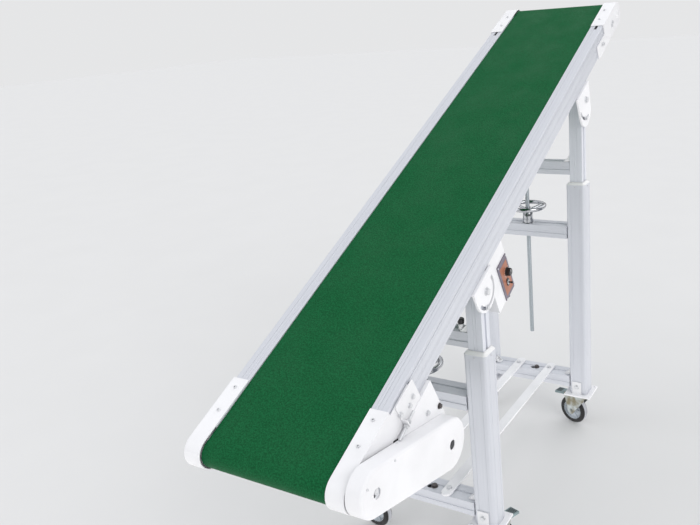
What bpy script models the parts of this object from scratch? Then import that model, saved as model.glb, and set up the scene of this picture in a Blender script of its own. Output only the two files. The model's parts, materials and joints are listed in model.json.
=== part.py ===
"""Inclined belt conveyor on a height-adjustable stand with swivel casters.

Metres, +Z up.  +Y runs from the low tail end to the high head end, +X is the drive side.
The origin lies on the floor under the middle of the machine's outline.
"""
import bpy
import bmesh
import math
from mathutils import Matrix, Vector

# ---------------------------------------------------------------- driving dimensions
GAP = 0.0003                    # clearance between pieces that touch
INCLINE = math.radians(25.0)    # slope of the deck at rest

BELT_WIDTH = 0.300
BELT_THICK = 0.002
BELT_RADIUS = 0.031             # outer radius of the belt round the end pulleys
PIVOT_TO_BELT = 0.100           # front pivot axis to the belt's top face, square to the deck
TAIL_T = -0.570                 # tail pulley axis, along the deck from the front pivot
HEAD_T = 1.210                  # head pulley axis
PULLEY_H = PIVOT_TO_BELT - BELT_RADIUS

RAIL_IN = 0.153                 # inner face of a side rail, from the centre plane
RAIL_OUT = 0.191
RAIL_TOP = PIVOT_TO_BELT + 0.003
RAIL_HEIGHT = 0.066
RAIL_BOTTOM = RAIL_TOP - RAIL_HEIGHT

RETURN_H = 0.062                # underside of the belt's return run
RETURN_RADIUS = 0.012
RETURN_INSET = 0.100            # return roller axis from the nearer end pulley axis

SHEET = 0.002
NOSE_RADIUS = 0.0363            # outside of the folded end plates
PLATE_IN = RAIL_OUT + GAP
PLATE_OUT = PLATE_IN + 0.003
SHAFT_RADIUS = 0.010

LEG_X = 0.170                   # leg axis from the centre plane
LEG_SPACING = 0.730             # front leg axis to rear leg axis
OUTER_LEG = 0.060
INNER_LEG = 0.040
LEG_FOOT = 0.1333
FRONT_LEG_TOP = 0.620
REAR_LEG_TOP = 0.860
PIVOT_Z = 0.775
REAR_RISE = LEG_SPACING * math.tan(INCLINE)
REAR_PIVOT_T = LEG_SPACING / math.cos(INCLINE)

BEAM_DEEP = 0.060               # fixed beams lie flat, as deep as the outer legs
BEAM_TALL = 0.040
BEAM_WALL = 0.006
BEAM_SLOT = (0.010, 0.002)      # width and depth of the line along each face
LOWER_BEAM_TOP = 0.195
FRONT_MID_TOP = 0.505
REAR_MID_TOP = 0.724
FRONT_UPPER_BOTTOM = 0.632
REAR_UPPER_BOTTOM = 0.890
FOOT_UPSTAND = (-0.020, 0.012)  # sides of the plate's upstand, from the leg axis
SLOT_HALF = 0.0045              # half the width of the pivot plates' slots
TIE_BAR_X = 0.0565
TIE_BAR_WIDE = 0.030
TIE_BAR_THICK = 0.006
TIE_BAR_ENDS = (0.035, 0.033)   # how far the bars reach past the leg axes, front and rear
CAP_RISE = 0.007                # the sloping cap on each outer leg
CAP_DEEP = 0.012

SCREW_Y = -0.007                # lifting screws hang a little forward of the leg axes
SCREW_RADIUS = 0.007
SCREW_HOLE = 0.010
FRONT_SCREW_END = 0.235
REAR_SCREW_END = 0.333
HANDWHEEL_RADIUS = 0.062
HANDWHEEL_RIM = 0.007           # radius of the rim's own section
HANDWHEEL_HUB = 0.017
HANDWHEEL_LIFT = 0.054          # beam top to the middle of the rim

CHAIN_X = 0.214                 # middle plane of the chain
MOTOR_T = -0.3436
MOTOR_H = -0.100
COVER_T = -0.559                # centre of the chain cover's small end
COVER_H = 0.0725
COVER_BACK = 0.1995
COVER_FRONT = 0.234
SPROCKET_TEETH = 13
CHAIN_PITCH = 0.0127

BOX_X = (0.100, 0.190)
BOX_T = (0.0366, 0.1350)
BOX_H = (-0.115, RAIL_BOTTOM - GAP)
PANEL_T = (0.0784, 0.1334)
PANEL_H = (BOX_H[0] + 0.0005, -0.004)
KNOB_AT = (0.1160, -0.049)
KNOB_RADIUS = 0.0105
KNOB_DEEP = 0.012
SWITCH_AT = (0.1072, -0.076)
SWITCH_HOLE = 0.0036

PLATE_SIZE = 0.090              # caster base plate
PLATE_TOP = 0.133
PLATE_THICK = 0.006
WHEEL_RADIUS = 0.050
WHEEL_WIDTH = 0.025
CASTER_TRAIL = 0.030
# degrees that each caster is turned from trailing straight back
CASTER_TURN = {"front_left": 83.0, "front_right": -15.0, "rear_left": 100.0, "rear_right": 74.0}

# ---------------------------------------------------------------- scene and helpers
for old in list(bpy.data.objects):
    bpy.data.objects.remove(old, do_unlink=True)

parts = bpy.data.collections.new("belt_conveyor")
bpy.context.scene.collection.children.link(parts)
guides = bpy.data.collections.new("belt_conveyor_guides")
bpy.context.scene.collection.children.link(guides)


def material(name, colour, roughness, metallic):
    mat = bpy.data.materials.new(name)
    mat.use_nodes = True
    shader = mat.node_tree.nodes["Principled BSDF"]
    shader.inputs["Base Color"].default_value = (*colour, 1.0)
    shader.inputs["Roughness"].default_value = roughness
    shader.inputs["Metallic"].default_value = metallic
    mat.diffuse_color = (*colour, 1.0)
    return mat


ALUMINIUM = material("anodised_aluminium", (0.68, 0.70, 0.74), 0.42, 0.85)
WHITE = material("white_paint", (0.86, 0.86, 0.88), 0.40, 0.0)
GREEN = material("green_belt", (0.020, 0.150, 0.060), 0.75, 0.0)
ZINC = material("zinc_plate", (0.56, 0.58, 0.58), 0.38, 0.9)
CHROME = material("chrome", (0.75, 0.75, 0.77), 0.12, 1.0)
STEEL = material("bright_steel", (0.58, 0.60, 0.63), 0.32, 0.9)
RUBBER = material("black_rubber", (0.015, 0.016, 0.020), 0.70, 0.0)
GREY = material("grey_frame", (0.23, 0.21, 0.25), 0.50, 0.2)
BLACK = material("black_plastic", (0.012, 0.012, 0.014), 0.45, 0.0)
PEDAL = material("grey_plastic", (0.45, 0.47, 0.48), 0.50, 0.0)
MOTOR = material("motor_enamel", (0.30, 0.33, 0.35), 0.50, 0.1)


def empty(name, location=(0, 0, 0), rotation=(0, 0, 0), parent=None):
    node = bpy.data.objects.new(name, None)
    node.empty_display_size = 0.05
    node.location = location
    node.rotation_euler = rotation
    node.parent = parent
    parts.objects.link(node)
    return node


def add(name, mesh, mat, parent, location=(0, 0, 0), rotation=(0, 0, 0)):
    """A named sub-part made from a mesh."""
    obj = bpy.data.objects.new(name, mesh)
    if not mesh.materials:
        mesh.materials.append(mat)
    obj.location = location
    obj.rotation_euler = rotation
    obj.parent = parent
    parts.objects.link(obj)
    return obj


def guide(mesh, parent=None, location=(0, 0, 0)):
    """A hidden shape used by a Boolean."""
    obj = bpy.data.objects.new("guide", mesh)
    obj.location = location
    obj.parent = parent
    obj.hide_render = True
    obj.display_type = 'WIRE'
    guides.objects.link(obj)
    return obj


def boolean(obj, mesh, operation):
    mod = obj.modifiers.new(operation.lower(), 'BOOLEAN')
    mod.operation = operation
    mod.solver = 'EXACT'
    mod.object = guide(mesh, obj.parent, obj.location)
    mod.object.rotation_euler = obj.rotation_euler
    return obj


def join(obj, *meshes):
    for mesh in meshes:
        boolean(obj, mesh, 'UNION')
    return obj


def cut(obj, *meshes):
    for mesh in meshes:
        boolean(obj, mesh, 'DIFFERENCE')
    return obj


def box(low, high):
    """A box mesh between two corners."""
    low, high = Vector(low), Vector(high)
    size = high - low
    bm = bmesh.new()
    place = Matrix.Translation((low + high) / 2) @ Matrix.Diagonal((*size, 1.0))
    bmesh.ops.create_cube(bm, size=1.0, matrix=place)
    mesh = bpy.data.meshes.new("box")
    bm.to_mesh(mesh)
    bm.free()
    return mesh


AXES = {
    "X": Matrix.Rotation(math.pi / 2, 4, 'Y'),
    "Y": Matrix.Rotation(-math.pi / 2, 4, 'X'),
    "Z": Matrix(),
}


def rod(axis, radius, start, end, at=(0, 0), segments=20, radius_end=None):
    """A cylinder or cone along an axis; `at` gives the other two coordinates in X, Y, Z order."""
    middle = (start + end) / 2
    place = list(at)
    place.insert("XYZ".index(axis), middle)
    bm = bmesh.new()
    bmesh.ops.create_cone(bm, cap_ends=True, segments=segments, radius1=radius,
                          radius2=radius if radius_end is None else radius_end, depth=abs(end - start),
                          matrix=Matrix.Translation(place) @ AXES[axis])
    mesh = bpy.data.meshes.new("rod")
    bm.to_mesh(mesh)
    bm.free()
    return mesh


# columns: where the outline's two directions and the extrusion point
PLANES = {
    "YZ": Matrix(((0, 0, 1, 0), (1, 0, 0, 0), (0, 1, 0, 0), (0, 0, 0, 1))),
    "XY": Matrix(),
    "XZ": Matrix(((1, 0, 0, 0), (0, 0, -1, 0), (0, 1, 0, 0), (0, 0, 0, 1))),
}


def prism(plane, outlines, start, end):
    """Flat outlines (the first the outside, the rest holes) extruded from start to end."""
    curve = bpy.data.curves.new("outline", 'CURVE')
    curve.dimensions = '2D'
    curve.fill_mode = 'BOTH'
    curve.extrude = abs(end - start) / 2
    for points in outlines:
        spline = curve.splines.new('POLY')
        spline.points.add(len(points) - 1)
        for point, (u, v) in zip(spline.points, points):
            point.co = (u, v, 0.0, 1.0)
        spline.use_cyclic_u = True
    obj = bpy.data.objects.new("outline", curve)
    bpy.context.scene.collection.objects.link(obj)
    bpy.context.view_layer.update()
    graph = bpy.context.evaluated_depsgraph_get()
    mesh = bpy.data.meshes.new_from_object(obj.evaluated_get(graph))
    bm = bmesh.new()
    bm.from_mesh(mesh)
    bmesh.ops.remove_doubles(bm, verts=bm.verts, dist=1e-6)
    middle = (start + end) / 2
    along = PLANES[plane].col[2].xyz
    bm.transform(Matrix.Translation(along * (middle if plane != "XZ" else -middle)) @ PLANES[plane])
    bmesh.ops.recalc_face_normals(bm, faces=bm.faces)
    if bm.calc_volume(signed=True) < 0:
        bmesh.ops.reverse_faces(bm, faces=bm.faces)
    bm.to_mesh(mesh)
    bm.free()
    bpy.data.objects.remove(obj, do_unlink=True)
    bpy.data.curves.remove(curve)
    return mesh


def turned(profile, axis="X", steps=32, closed=False, scale=1.0):
    """A profile of (radius, height) pairs, top to bottom, turned about an axis with Screw."""
    mesh = bpy.data.meshes.new("profile")
    points = [(r * scale, 0.0, h * scale) for r, h in profile]
    edges = [(i, i + 1) for i in range(len(points) - 1)]
    if closed:
        edges.append((len(points) - 1, 0))
    mesh.from_pydata(points, edges, [])
    obj = bpy.data.objects.new("profile", mesh)
    bpy.context.scene.collection.objects.link(obj)
    mod = obj.modifiers.new("turn", 'SCREW')
    mod.steps = steps
    mod.render_steps = steps
    mod.use_merge_vertices = True
    mod.merge_threshold = 0.00001
    bpy.context.view_layer.update()
    graph = bpy.context.evaluated_depsgraph_get()
    solid = bpy.data.meshes.new_from_object(obj.evaluated_get(graph))
    solid.transform(AXES[axis])
    bpy.data.objects.remove(obj, do_unlink=True)
    bpy.data.meshes.remove(mesh)
    return solid


def arc(centre, radius, start, end, count):
    """Points on an arc, angles in degrees."""
    angles = [math.radians(start + (end - start) * i / count) for i in range(count + 1)]
    return [(centre[0] + radius * math.cos(a), centre[1] + radius * math.sin(a)) for a in angles]


def wrap(circles, steps=20):
    """A taut loop round circles (u, v, radius), anticlockwise.

    A circle with a negative radius is passed on its outside.
    """
    count = len(circles)
    normals = []
    for i in range(count):
        u1, v1, r1 = circles[i]
        u2, v2, r2 = circles[(i + 1) % count]
        heading = math.atan2(v2 - v1, u2 - u1) - math.asin((r2 - r1) / math.hypot(u2 - u1, v2 - v1))
        normals.append(heading - math.pi / 2)
    points = []
    for i, (u, v, r) in enumerate(circles):
        start, end = normals[i - 1], normals[i]
        turn = (end - start) % (2 * math.pi)
        if r < 0 and turn > 0:
            turn -= 2 * math.pi
        bends = max(2, round(steps * abs(turn) / math.pi))
        for k in range(bends + 1):
            a = start + turn * k / bends
            points.append((u + r * math.cos(a), v + r * math.sin(a)))
    return points


def oblong(wide, tall, slot=0.0, depth=0.0, centre=(0.0, 0.0)):
    """A rectangular outline with a slot in the middle of each side."""
    points = []
    for k in range(4):
        c, n = round(math.cos(k * math.pi / 2)), round(math.sin(k * math.pi / 2))
        along, out = (wide / 2, tall / 2) if k % 2 == 0 else (tall / 2, wide / 2)
        side = [(-along, -out)]
        if slot:
            edge, floor = slot / 2, depth - out
            side += [(-edge, -out), (-edge, floor), (edge, floor), (edge, -out)]
        points += [(centre[0] + u * c - v * n, centre[1] + u * n + v * c) for u, v in side]
    return points


def square(size, slot=0.0, depth=0.0):
    return oblong(size, size, slot, depth)


def mirrored(points):
    """The outline reflected to the other side of the centre plane."""
    return [(-u, v) for u, v in reversed(points)]


def span(side, low, high):
    """A stretch of X from the centre plane, on the right (side 1) or the left (side -1)."""
    return (low, high) if side > 0 else (-high, -low)


SIDES = {"left": -1, "right": 1}

# ---------------------------------------------------------------- frames of the moving groups
machine = empty("machine")
stand = empty("stand_frame", parent=machine)
front_lift = empty("front_lift_frame", parent=machine)
rear_lift = empty("rear_lift_frame", (0, LEG_SPACING, REAR_RISE), parent=machine)
deck = empty("deck_frame", (0, 0, PIVOT_Z), (INCLINE, 0, 0), machine)
rear_brackets = empty("rear_bracket_frame", (0, REAR_PIVOT_T, 0), parent=deck)


# ---------------------------------------------------------------- stand
def build_legs():
    for end, y, top in (("front", 0.0, FRONT_LEG_TOP), ("rear", LEG_SPACING, REAR_LEG_TOP)):
        for side, sign in SIDES.items():
            section = [square(OUTER_LEG, 0.030, 0.001), square(OUTER_LEG - 0.008)]
            tube = prism("XY", section, LEG_FOOT, top - CAP_DEEP / 2)
            leg = add(f"outer_leg_{end}_{side}", tube, ALUMINIUM, stand, (sign * LEG_X, y, 0))
            join(leg, leg_cap(top))
            build_foot(f"{end}_{side}", sign * LEG_X, y)


def leg_cap(top):
    """Square cap that slopes up to the inner leg; a profile turned in four steps."""
    corner = math.sqrt(2) / 2
    outer = (OUTER_LEG + 0.0006) * corner
    inner = (INNER_LEG + 0.001) * corner
    profile = [(inner, top + CAP_RISE), (inner + 0.003, top + CAP_RISE), (outer, top),
               (outer, top - CAP_DEEP), (inner, top - CAP_DEEP)]
    cap = turned(profile, "Z", 4, closed=True)
    cap.transform(Matrix.Rotation(math.pi / 4, 4, 'Z'))
    return cap


def build_foot(label, x, y):
    """Caster base plate with an upstand bolted to the front of the leg."""
    half = PLATE_SIZE / 2
    plate = box((-half, -half, PLATE_TOP - PLATE_THICK), (half, half, PLATE_TOP))
    foot = add(f"foot_bracket_{label}", plate, WHITE, stand, (x, y, 0))
    face = -OUTER_LEG / 2 - GAP
    left, right = FOOT_UPSTAND
    join(foot, box((left, face - 0.003, PLATE_TOP - 0.001), (right, face, PLATE_TOP + 0.045)))


def beam_mesh(half_length, bottom, deep):
    """A hollow beam across the machine, with a line along each face."""
    centre = (0.0, bottom + BEAM_TALL / 2)
    outside = oblong(deep, BEAM_TALL, *BEAM_SLOT, centre)
    inside = oblong(deep - 2 * BEAM_WALL, BEAM_TALL - 2 * BEAM_WALL, centre=centre)
    return prism("YZ", [outside, inside], -half_length, half_length)


def build_beams():
    reach = LEG_X - OUTER_LEG / 2 - GAP
    hole = rod("Z", SCREW_HOLE, 0.1, 1.0, (0, SCREW_Y))
    beams = (("front_lower_beam", 0.0, LOWER_BEAM_TOP),
             ("rear_lower_beam", LEG_SPACING, LOWER_BEAM_TOP),
             ("front_mid_beam", 0.0, FRONT_MID_TOP),
             ("rear_mid_beam", LEG_SPACING, REAR_MID_TOP))
    for name, y, top in beams:
        beam = add(name, beam_mesh(reach, top - BEAM_TALL, BEAM_DEEP), ALUMINIUM, stand, (0, y, 0))
        cut(beam, hole)
    half = TIE_BAR_WIDE / 2
    low, high = -TIE_BAR_ENDS[0], LEG_SPACING + TIE_BAR_ENDS[1]
    outline = arc((0, low + half), half, 180, 360, 8) + arc((0, high - half), half, 0, 180, 8)
    for side, sign in SIDES.items():
        bar = prism("XY", [outline], LOWER_BEAM_TOP + GAP, LOWER_BEAM_TOP + GAP + TIE_BAR_THICK)
        add(f"tie_bar_{side}", bar, WHITE, stand, (sign * TIE_BAR_X, 0, 0))


# ---------------------------------------------------------------- lifting frames
def build_lift(end, frame, drop, leg_top, leg_bottom, beam_bottom, screw_end):
    """Inner legs, their cross-beam and the hanging screw; `drop` is the frame's own height."""
    for side, sign in SIDES.items():
        section = [square(INNER_LEG, 0.008, 0.005), square(0.016)]
        tube = prism("XY", section, leg_bottom - drop, leg_top - drop)
        leg = add(f"inner_leg_{end}_{side}", tube, ALUMINIUM, frame, (sign * LEG_X, 0, 0))
        if end == "front":
            boss = span(sign, INNER_LEG / 2 - 0.012, INNER_LEG / 2 + 0.0075)
            join(leg, rod("X", 0.008, boss[0], boss[1], (0, PIVOT_Z)))
    reach = LEG_X - INNER_LEG / 2 - GAP
    add(f"{end}_upper_beam", beam_mesh(reach, beam_bottom - drop, INNER_LEG), ALUMINIUM, frame)
    top = beam_bottom - GAP - drop
    shank = rod("Z", SCREW_RADIUS, screw_end - drop, top, (0, SCREW_Y))
    screw = add(f"{end}_lift_screw", shank, STEEL, frame)
    join(screw, rod("Z", 0.014, top - 0.010, top, (0, SCREW_Y), 6))


def handwheel_mesh():
    """Turned rim and hub; the spokes are joined on afterwards."""
    rim = HANDWHEEL_RIM
    middle = HANDWHEEL_RADIUS - rim
    ring = [(middle + rim * math.cos(a), HANDWHEEL_LIFT + rim * math.sin(a))
            for a in [math.pi / 2 - 2 * math.pi * k / 8 for k in range(8)]]
    return turned(ring, "Z", 28, closed=True)


def build_handwheel(end, y, beam_top):
    wheel = add(f"{end}_handwheel", handwheel_mesh(), CHROME, stand, (0, y + SCREW_Y, beam_top))
    hub_top = HANDWHEEL_LIFT - 0.006
    join(wheel, rod("Z", HANDWHEEL_HUB, GAP + 0.001, hub_top * 0.75),
         rod("Z", HANDWHEEL_HUB - 0.003, hub_top * 0.7, hub_top))
    for k in range(3):
        spoke = rod("X", 0.0045, 0.006, HANDWHEEL_RADIUS - HANDWHEEL_RIM, (0, 0), 10)
        tilt = math.atan2(0.012, HANDWHEEL_RADIUS)
        turn = Matrix.Rotation(math.radians(120 * k + 40), 4, 'Z')
        rise = Matrix.Translation((0, 0, hub_top - 0.007)) @ Matrix.Rotation(-tilt, 4, 'Y')
        spoke.transform(turn @ rise)
        join(wheel, spoke)
    cut(wheel, rod("Z", SCREW_RADIUS + 0.0006, -0.01, 0.09))


# ---------------------------------------------------------------- casters
def build_caster(label, x, y, braked):
    swivel = empty(f"swivel_{label}", (x, y, 0), (0, 0, math.radians(CASTER_TURN[label])), stand)
    axle = (CASTER_TRAIL, WHEEL_RADIUS)
    fork_side = [(-0.024, 0.1147), (-0.024, 0.104)] + arc(axle, 0.012, 200, 350, 5)
    fork_side += [(0.053, 0.096), (0.056, 0.104), (0.056, 0.1147)]
    fork = add(f"caster_fork_{label}", prism("YZ", [fork_side], 0.018, 0.021), ZINC, swivel)
    join(fork, prism("YZ", [fork_side], -0.021, -0.018),
         box((-0.021, -0.024, 0.1085), (0.021, 0.040, 0.1147)),
         rod("Z", 0.029, 0.1140, PLATE_TOP - PLATE_THICK - GAP),
         rod("X", 0.005, -0.025, 0.025, axle))
    half = WHEEL_WIDTH / 2
    tyre = [(0.0055, 0.016), (0.013, 0.016), (0.015, 0.006), (0.034, 0.006), (0.037, half),
            (WHEEL_RADIUS, half - 0.003)]
    profile = tyre + [(r, -h) for r, h in reversed(tyre)]
    add(f"caster_wheel_{label}", turned(profile, "X", 28, closed=True), RUBBER, swivel,
        (0, CASTER_TRAIL, WHEEL_RADIUS))
    if braked:
        hinge = Vector((0, 0.048, 0.107))
        lever = [(-0.004, 0.0025), (-0.004, -0.0025), (0.020, -0.0055), (0.052, -0.0105),
                 (0.052, -0.0025), (0.020, 0.001)]
        pedal = add(f"brake_pedal_{label}", prism("YZ", [lever], -0.015, 0.015), PEDAL, swivel, hinge)
        join(pedal, rod("X", 0.004, -0.0172, 0.0172, (0, 0), 16))


# ---------------------------------------------------------------- deck
def rail_section(sign):
    """Side rail: top groove, a fine line and a step on the outer side, hollow core."""
    mid = (RAIL_IN + RAIL_OUT) / 2
    groove, deep = 0.0045, 0.004
    outside = [(RAIL_IN, RAIL_BOTTOM), (RAIL_OUT, RAIL_BOTTOM)]
    for low, high, step in ((0.064, 0.070, 0.003), (0.0925, 0.0955, 0.0015)):
        outside += [(RAIL_OUT, low), (RAIL_OUT - step, low), (RAIL_OUT - step, high), (RAIL_OUT, high)]
    outside += [(RAIL_OUT, RAIL_TOP), (mid + groove, RAIL_TOP), (mid + groove, RAIL_TOP - deep),
                (mid - groove, RAIL_TOP - deep), (mid - groove, RAIL_TOP), (RAIL_IN, RAIL_TOP)]
    core = [(RAIL_IN + 0.003, RAIL_BOTTOM + 0.003), (RAIL_OUT - 0.0065, RAIL_BOTTOM + 0.003),
            (RAIL_OUT - 0.0065, RAIL_TOP - 0.008), (RAIL_IN + 0.003, RAIL_TOP - 0.008)]
    if sign < 0:
        outside, core = mirrored(outside), mirrored(core)
    return [outside, core]


def build_rails():
    pin_h = RETURN_H - RETURN_RADIUS - GAP
    for side, sign in SIDES.items():
        body = prism("XZ", rail_section(sign), TAIL_T + 0.035, HEAD_T - 0.035)
        rail = add(f"side_rail_{side}", body, ALUMINIUM, deck)
        for t in (TAIL_T + RETURN_INSET, HEAD_T - RETURN_INSET):
            pin = span(sign, RAIL_IN - 0.010, RAIL_IN + 0.002)
            join(rail, rod("X", 0.004, pin[0], pin[1], (t, pin_h), 12))


def build_bed():
    edge, top = RAIL_IN - 0.0005, PIVOT_TO_BELT - BELT_THICK - GAP
    lip = top - 0.018
    inner = edge - SHEET
    outline = [(-edge, lip), (-inner, lip), (-inner, top - SHEET), (inner, top - SHEET),
               (inner, lip), (edge, lip), (edge, top), (-edge, top)]
    add("slider_bed", prism("XZ", [outline], TAIL_T + 0.034, HEAD_T - 0.034), STEEL, deck)


def build_belt():
    def loop(inset):
        pulley, roller = BELT_RADIUS - inset, RETURN_RADIUS + GAP + inset
        roller_h = RETURN_H - RETURN_RADIUS - GAP
        return wrap([(TAIL_T, PULLEY_H, pulley), (TAIL_T + RETURN_INSET, roller_h, -roller),
                     (HEAD_T - RETURN_INSET, roller_h, -roller), (HEAD_T, PULLEY_H, pulley)], 18)
    half = BELT_WIDTH / 2
    add("conveyor_belt", prism("YZ", [loop(0.0), loop(BELT_THICK)], -half, half), GREEN, deck)


def build_rollers():
    radius = BELT_RADIUS - BELT_THICK - GAP
    half = BELT_WIDTH / 2 + 0.0015
    shaft = PLATE_IN - 0.0008
    drive_end = COVER_FRONT - 0.008
    for name, t, right in (("drive_pulley", TAIL_T, drive_end), ("head_pulley", HEAD_T, shaft)):
        pulley = add(name, rod("X", radius, -half, half, segments=32), STEEL, deck, (0, t, PULLEY_H))
        join(pulley, rod("X", SHAFT_RADIUS, -shaft, right))
    roller_h = RETURN_H - RETURN_RADIUS - GAP
    for end, t in (("tail", TAIL_T + RETURN_INSET), ("head", HEAD_T - RETURN_INSET)):
        tube = rod("X", RETURN_RADIUS, -half, half)
        roller = add(f"return_roller_{end}", tube, STEEL, deck, (0, t, roller_h))
        cut(roller, rod("X", 0.0046, -0.2, 0.2, segments=16))


def end_plate(name, sign, t_axis, toward, flange_end, arm_end, arm_top):
    """Side plate with a folded top round the nose and a bearing boss; `toward` points to the nose."""
    centre = (t_axis, PULLEY_H)
    top, bottom = PULLEY_H + NOSE_RADIUS, PULLEY_H - NOSE_RADIUS
    nose = arc(centre, NOSE_RADIUS, 90, 90 - 180 * toward, 14)
    outline = nose + [(arm_end, bottom), (arm_end, arm_top), (flange_end, arm_top), (flange_end, top)]
    inner = NOSE_RADIUS - SHEET
    under = t_axis - toward * 0.020
    band = nose + [(under, bottom), (under, bottom + SHEET)]
    band += arc(centre, inner, 90 - 180 * toward, 90, 14)
    band += [(flange_end, top - SHEET), (flange_end, top)]
    if toward > 0:
        outline, band = outline[::-1], band[::-1]
    low, high = span(sign, PLATE_IN, PLATE_OUT)
    plate = add(name, prism("YZ", [outline], low, high), WHITE, deck)
    fold = span(sign, RAIL_IN, PLATE_IN + 0.001)
    join(plate, prism("YZ", [band], fold[0], fold[1]))
    boss = span(sign, 0.162, PLATE_IN + 0.001)
    join(plate, rod("X", 0.017, boss[0], boss[1], centre))
    bore = span(sign, 0.150, 0.210)
    cut(plate, rod("X", SHAFT_RADIUS + 0.0005, bore[0], bore[1], centre))


def build_end_plates():
    for side, sign in SIDES.items():
        end_plate(f"tail_end_plate_{side}", sign, TAIL_T, -1, -0.4186, -0.3446, PIVOT_TO_BELT - 0.006)
        end_plate(f"head_end_plate_{side}", sign, HEAD_T, 1, 1.0634, 0.980, PIVOT_TO_BELT - 0.025)


def pivot_plate(name, sign, parent, flange_end, radius, drop, slot_radius, slot_turn):
    """Tongue hung from the rail, with the pivot hole and a curved slot for the clamping bolt.

    `drop` is how far below the pivot the tongue's round end is centred.
    """
    top = RAIL_BOTTOM - GAP
    below = (-drop * math.sin(INCLINE), -drop * math.cos(INCLINE))
    tongue = [(-radius - drop / 2, top)] + arc(below, radius, 180, 360, 16) + [(radius, top)]
    low, high = span(sign, PLATE_IN, PLATE_IN + 0.006)
    plate = add(name, prism("YZ", [tongue], low, high), WHITE, parent)
    fold = span(sign, RAIL_IN + 0.004, PLATE_IN + 0.001)
    join(plate, box((fold[0], 0.001 - radius, top - 0.005), (fold[1], flange_end, top)))
    slot = arc((0, 0), slot_radius + SLOT_HALF, slot_turn[0], slot_turn[1], 14)
    slot += arc((0, 0), slot_radius - SLOT_HALF, slot_turn[1], slot_turn[0], 14)
    cut(plate, prism("YZ", [slot], low - 0.01, high + 0.01), rod("X", 0.0088, low - 0.01, high + 0.01))


def build_pivot_plates():
    for side, sign in SIDES.items():
        pivot_plate(f"front_pivot_plate_{side}", sign, deck, 0.030, 0.051, 0.0, 0.040, (-165, 20))
        pivot_plate(f"rear_pivot_plate_{side}", sign, rear_brackets, 0.046, 0.048, 0.032, 0.055, (-170, -85))


# ---------------------------------------------------------------- drive
def sprocket_outline():
    """Teeth as flat-topped bumps between the chain's rollers."""
    pitch_radius = CHAIN_PITCH / (2 * math.sin(math.pi / SPROCKET_TEETH))
    tip, root = pitch_radius + 0.0005, pitch_radius - 0.0035
    points = []
    for k in range(SPROCKET_TEETH):
        a = 2 * math.pi * k / SPROCKET_TEETH
        step = 2 * math.pi / SPROCKET_TEETH
        for share, r in ((-0.30, root), (-0.12, tip), (0.12, tip), (0.30, root)):
            points.append((r * math.cos(a + share * step), r * math.sin(a + share * step)))
    return points, tip


def build_drive():
    teeth, tip = sprocket_outline()
    thick = 0.0035
    low, high = CHAIN_X - thick, CHAIN_X + thick
    driven = add("driven_sprocket", prism("YZ", [teeth], low, high), STEEL, deck, (0, TAIL_T, PULLEY_H))
    join(driven, rod("X", 0.017, CHAIN_X - 0.009, CHAIN_X))
    cut(driven, rod("X", SHAFT_RADIUS + GAP, 0.19, 0.24))
    motor_at = (0, MOTOR_T, MOTOR_H)
    motor_sprocket = add("motor_sprocket", prism("YZ", [teeth], low, high), STEEL, deck, motor_at)
    join(motor_sprocket, rod("X", SHAFT_RADIUS, 0.165, COVER_FRONT - 0.008))

    def chain_loop(extra):
        return wrap([(TAIL_T, PULLEY_H, tip + extra), (MOTOR_T, MOTOR_H, tip + extra)], 20)
    chain = prism("YZ", [chain_loop(0.0045), chain_loop(GAP)], CHAIN_X - 0.004, CHAIN_X + 0.004)
    add("drive_chain", chain, STEEL, deck)

    plate_face = PLATE_OUT + 0.0007
    lobe = arc((MOTOR_T, MOTOR_H), 0.050, -140, 20, 12)
    top = RAIL_BOTTOM - GAP
    outline = lobe + [(-0.2886, -0.070), (-0.2886, top), (-0.430, top), (-0.430, -0.020)]
    plate = add("motor_plate", prism("YZ", [outline], plate_face, plate_face + 0.004), WHITE, deck)
    join(plate, box((RAIL_IN + 0.004, -0.340, top - 0.005), (plate_face + 0.001, -0.2886, top)))
    cut(plate, rod("X", 0.013, 0.18, 0.21, (MOTOR_T, MOTOR_H)))

    small, large = 0.047, 0.057
    cover_at = (COVER_T, COVER_H), (MOTOR_T, MOTOR_H)
    shell = wrap([(*cover_at[0], small), (*cover_at[1], large)], 20)
    hollow = wrap([(*cover_at[0], small - SHEET), (*cover_at[1], large - SHEET)], 20)
    cover = add("chain_cover", prism("YZ", [shell], COVER_BACK, COVER_FRONT), WHITE, deck)
    cut(cover, prism("YZ", [hollow], COVER_BACK - 0.01, COVER_FRONT - SHEET),
        rod("X", 0.0105, 0.22, 0.25, cover_at[0]), rod("X", 0.0105, 0.22, 0.25, cover_at[1]))

    side = 0.042
    axis = (MOTOR_T, MOTOR_H)
    gearbox = box((0.128, MOTOR_T - side, MOTOR_H - side),
                  (plate_face - 0.0005, MOTOR_T + side, MOTOR_H + side))
    motor = add("gear_motor", gearbox, MOTOR, deck)
    join(motor, rod("X", 0.040, -0.020, 0.130, axis), rod("X", 0.043, -0.034, -0.018, axis))
    cut(motor, rod("X", SHAFT_RADIUS + 0.001, 0.162, 0.21, axis))


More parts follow.
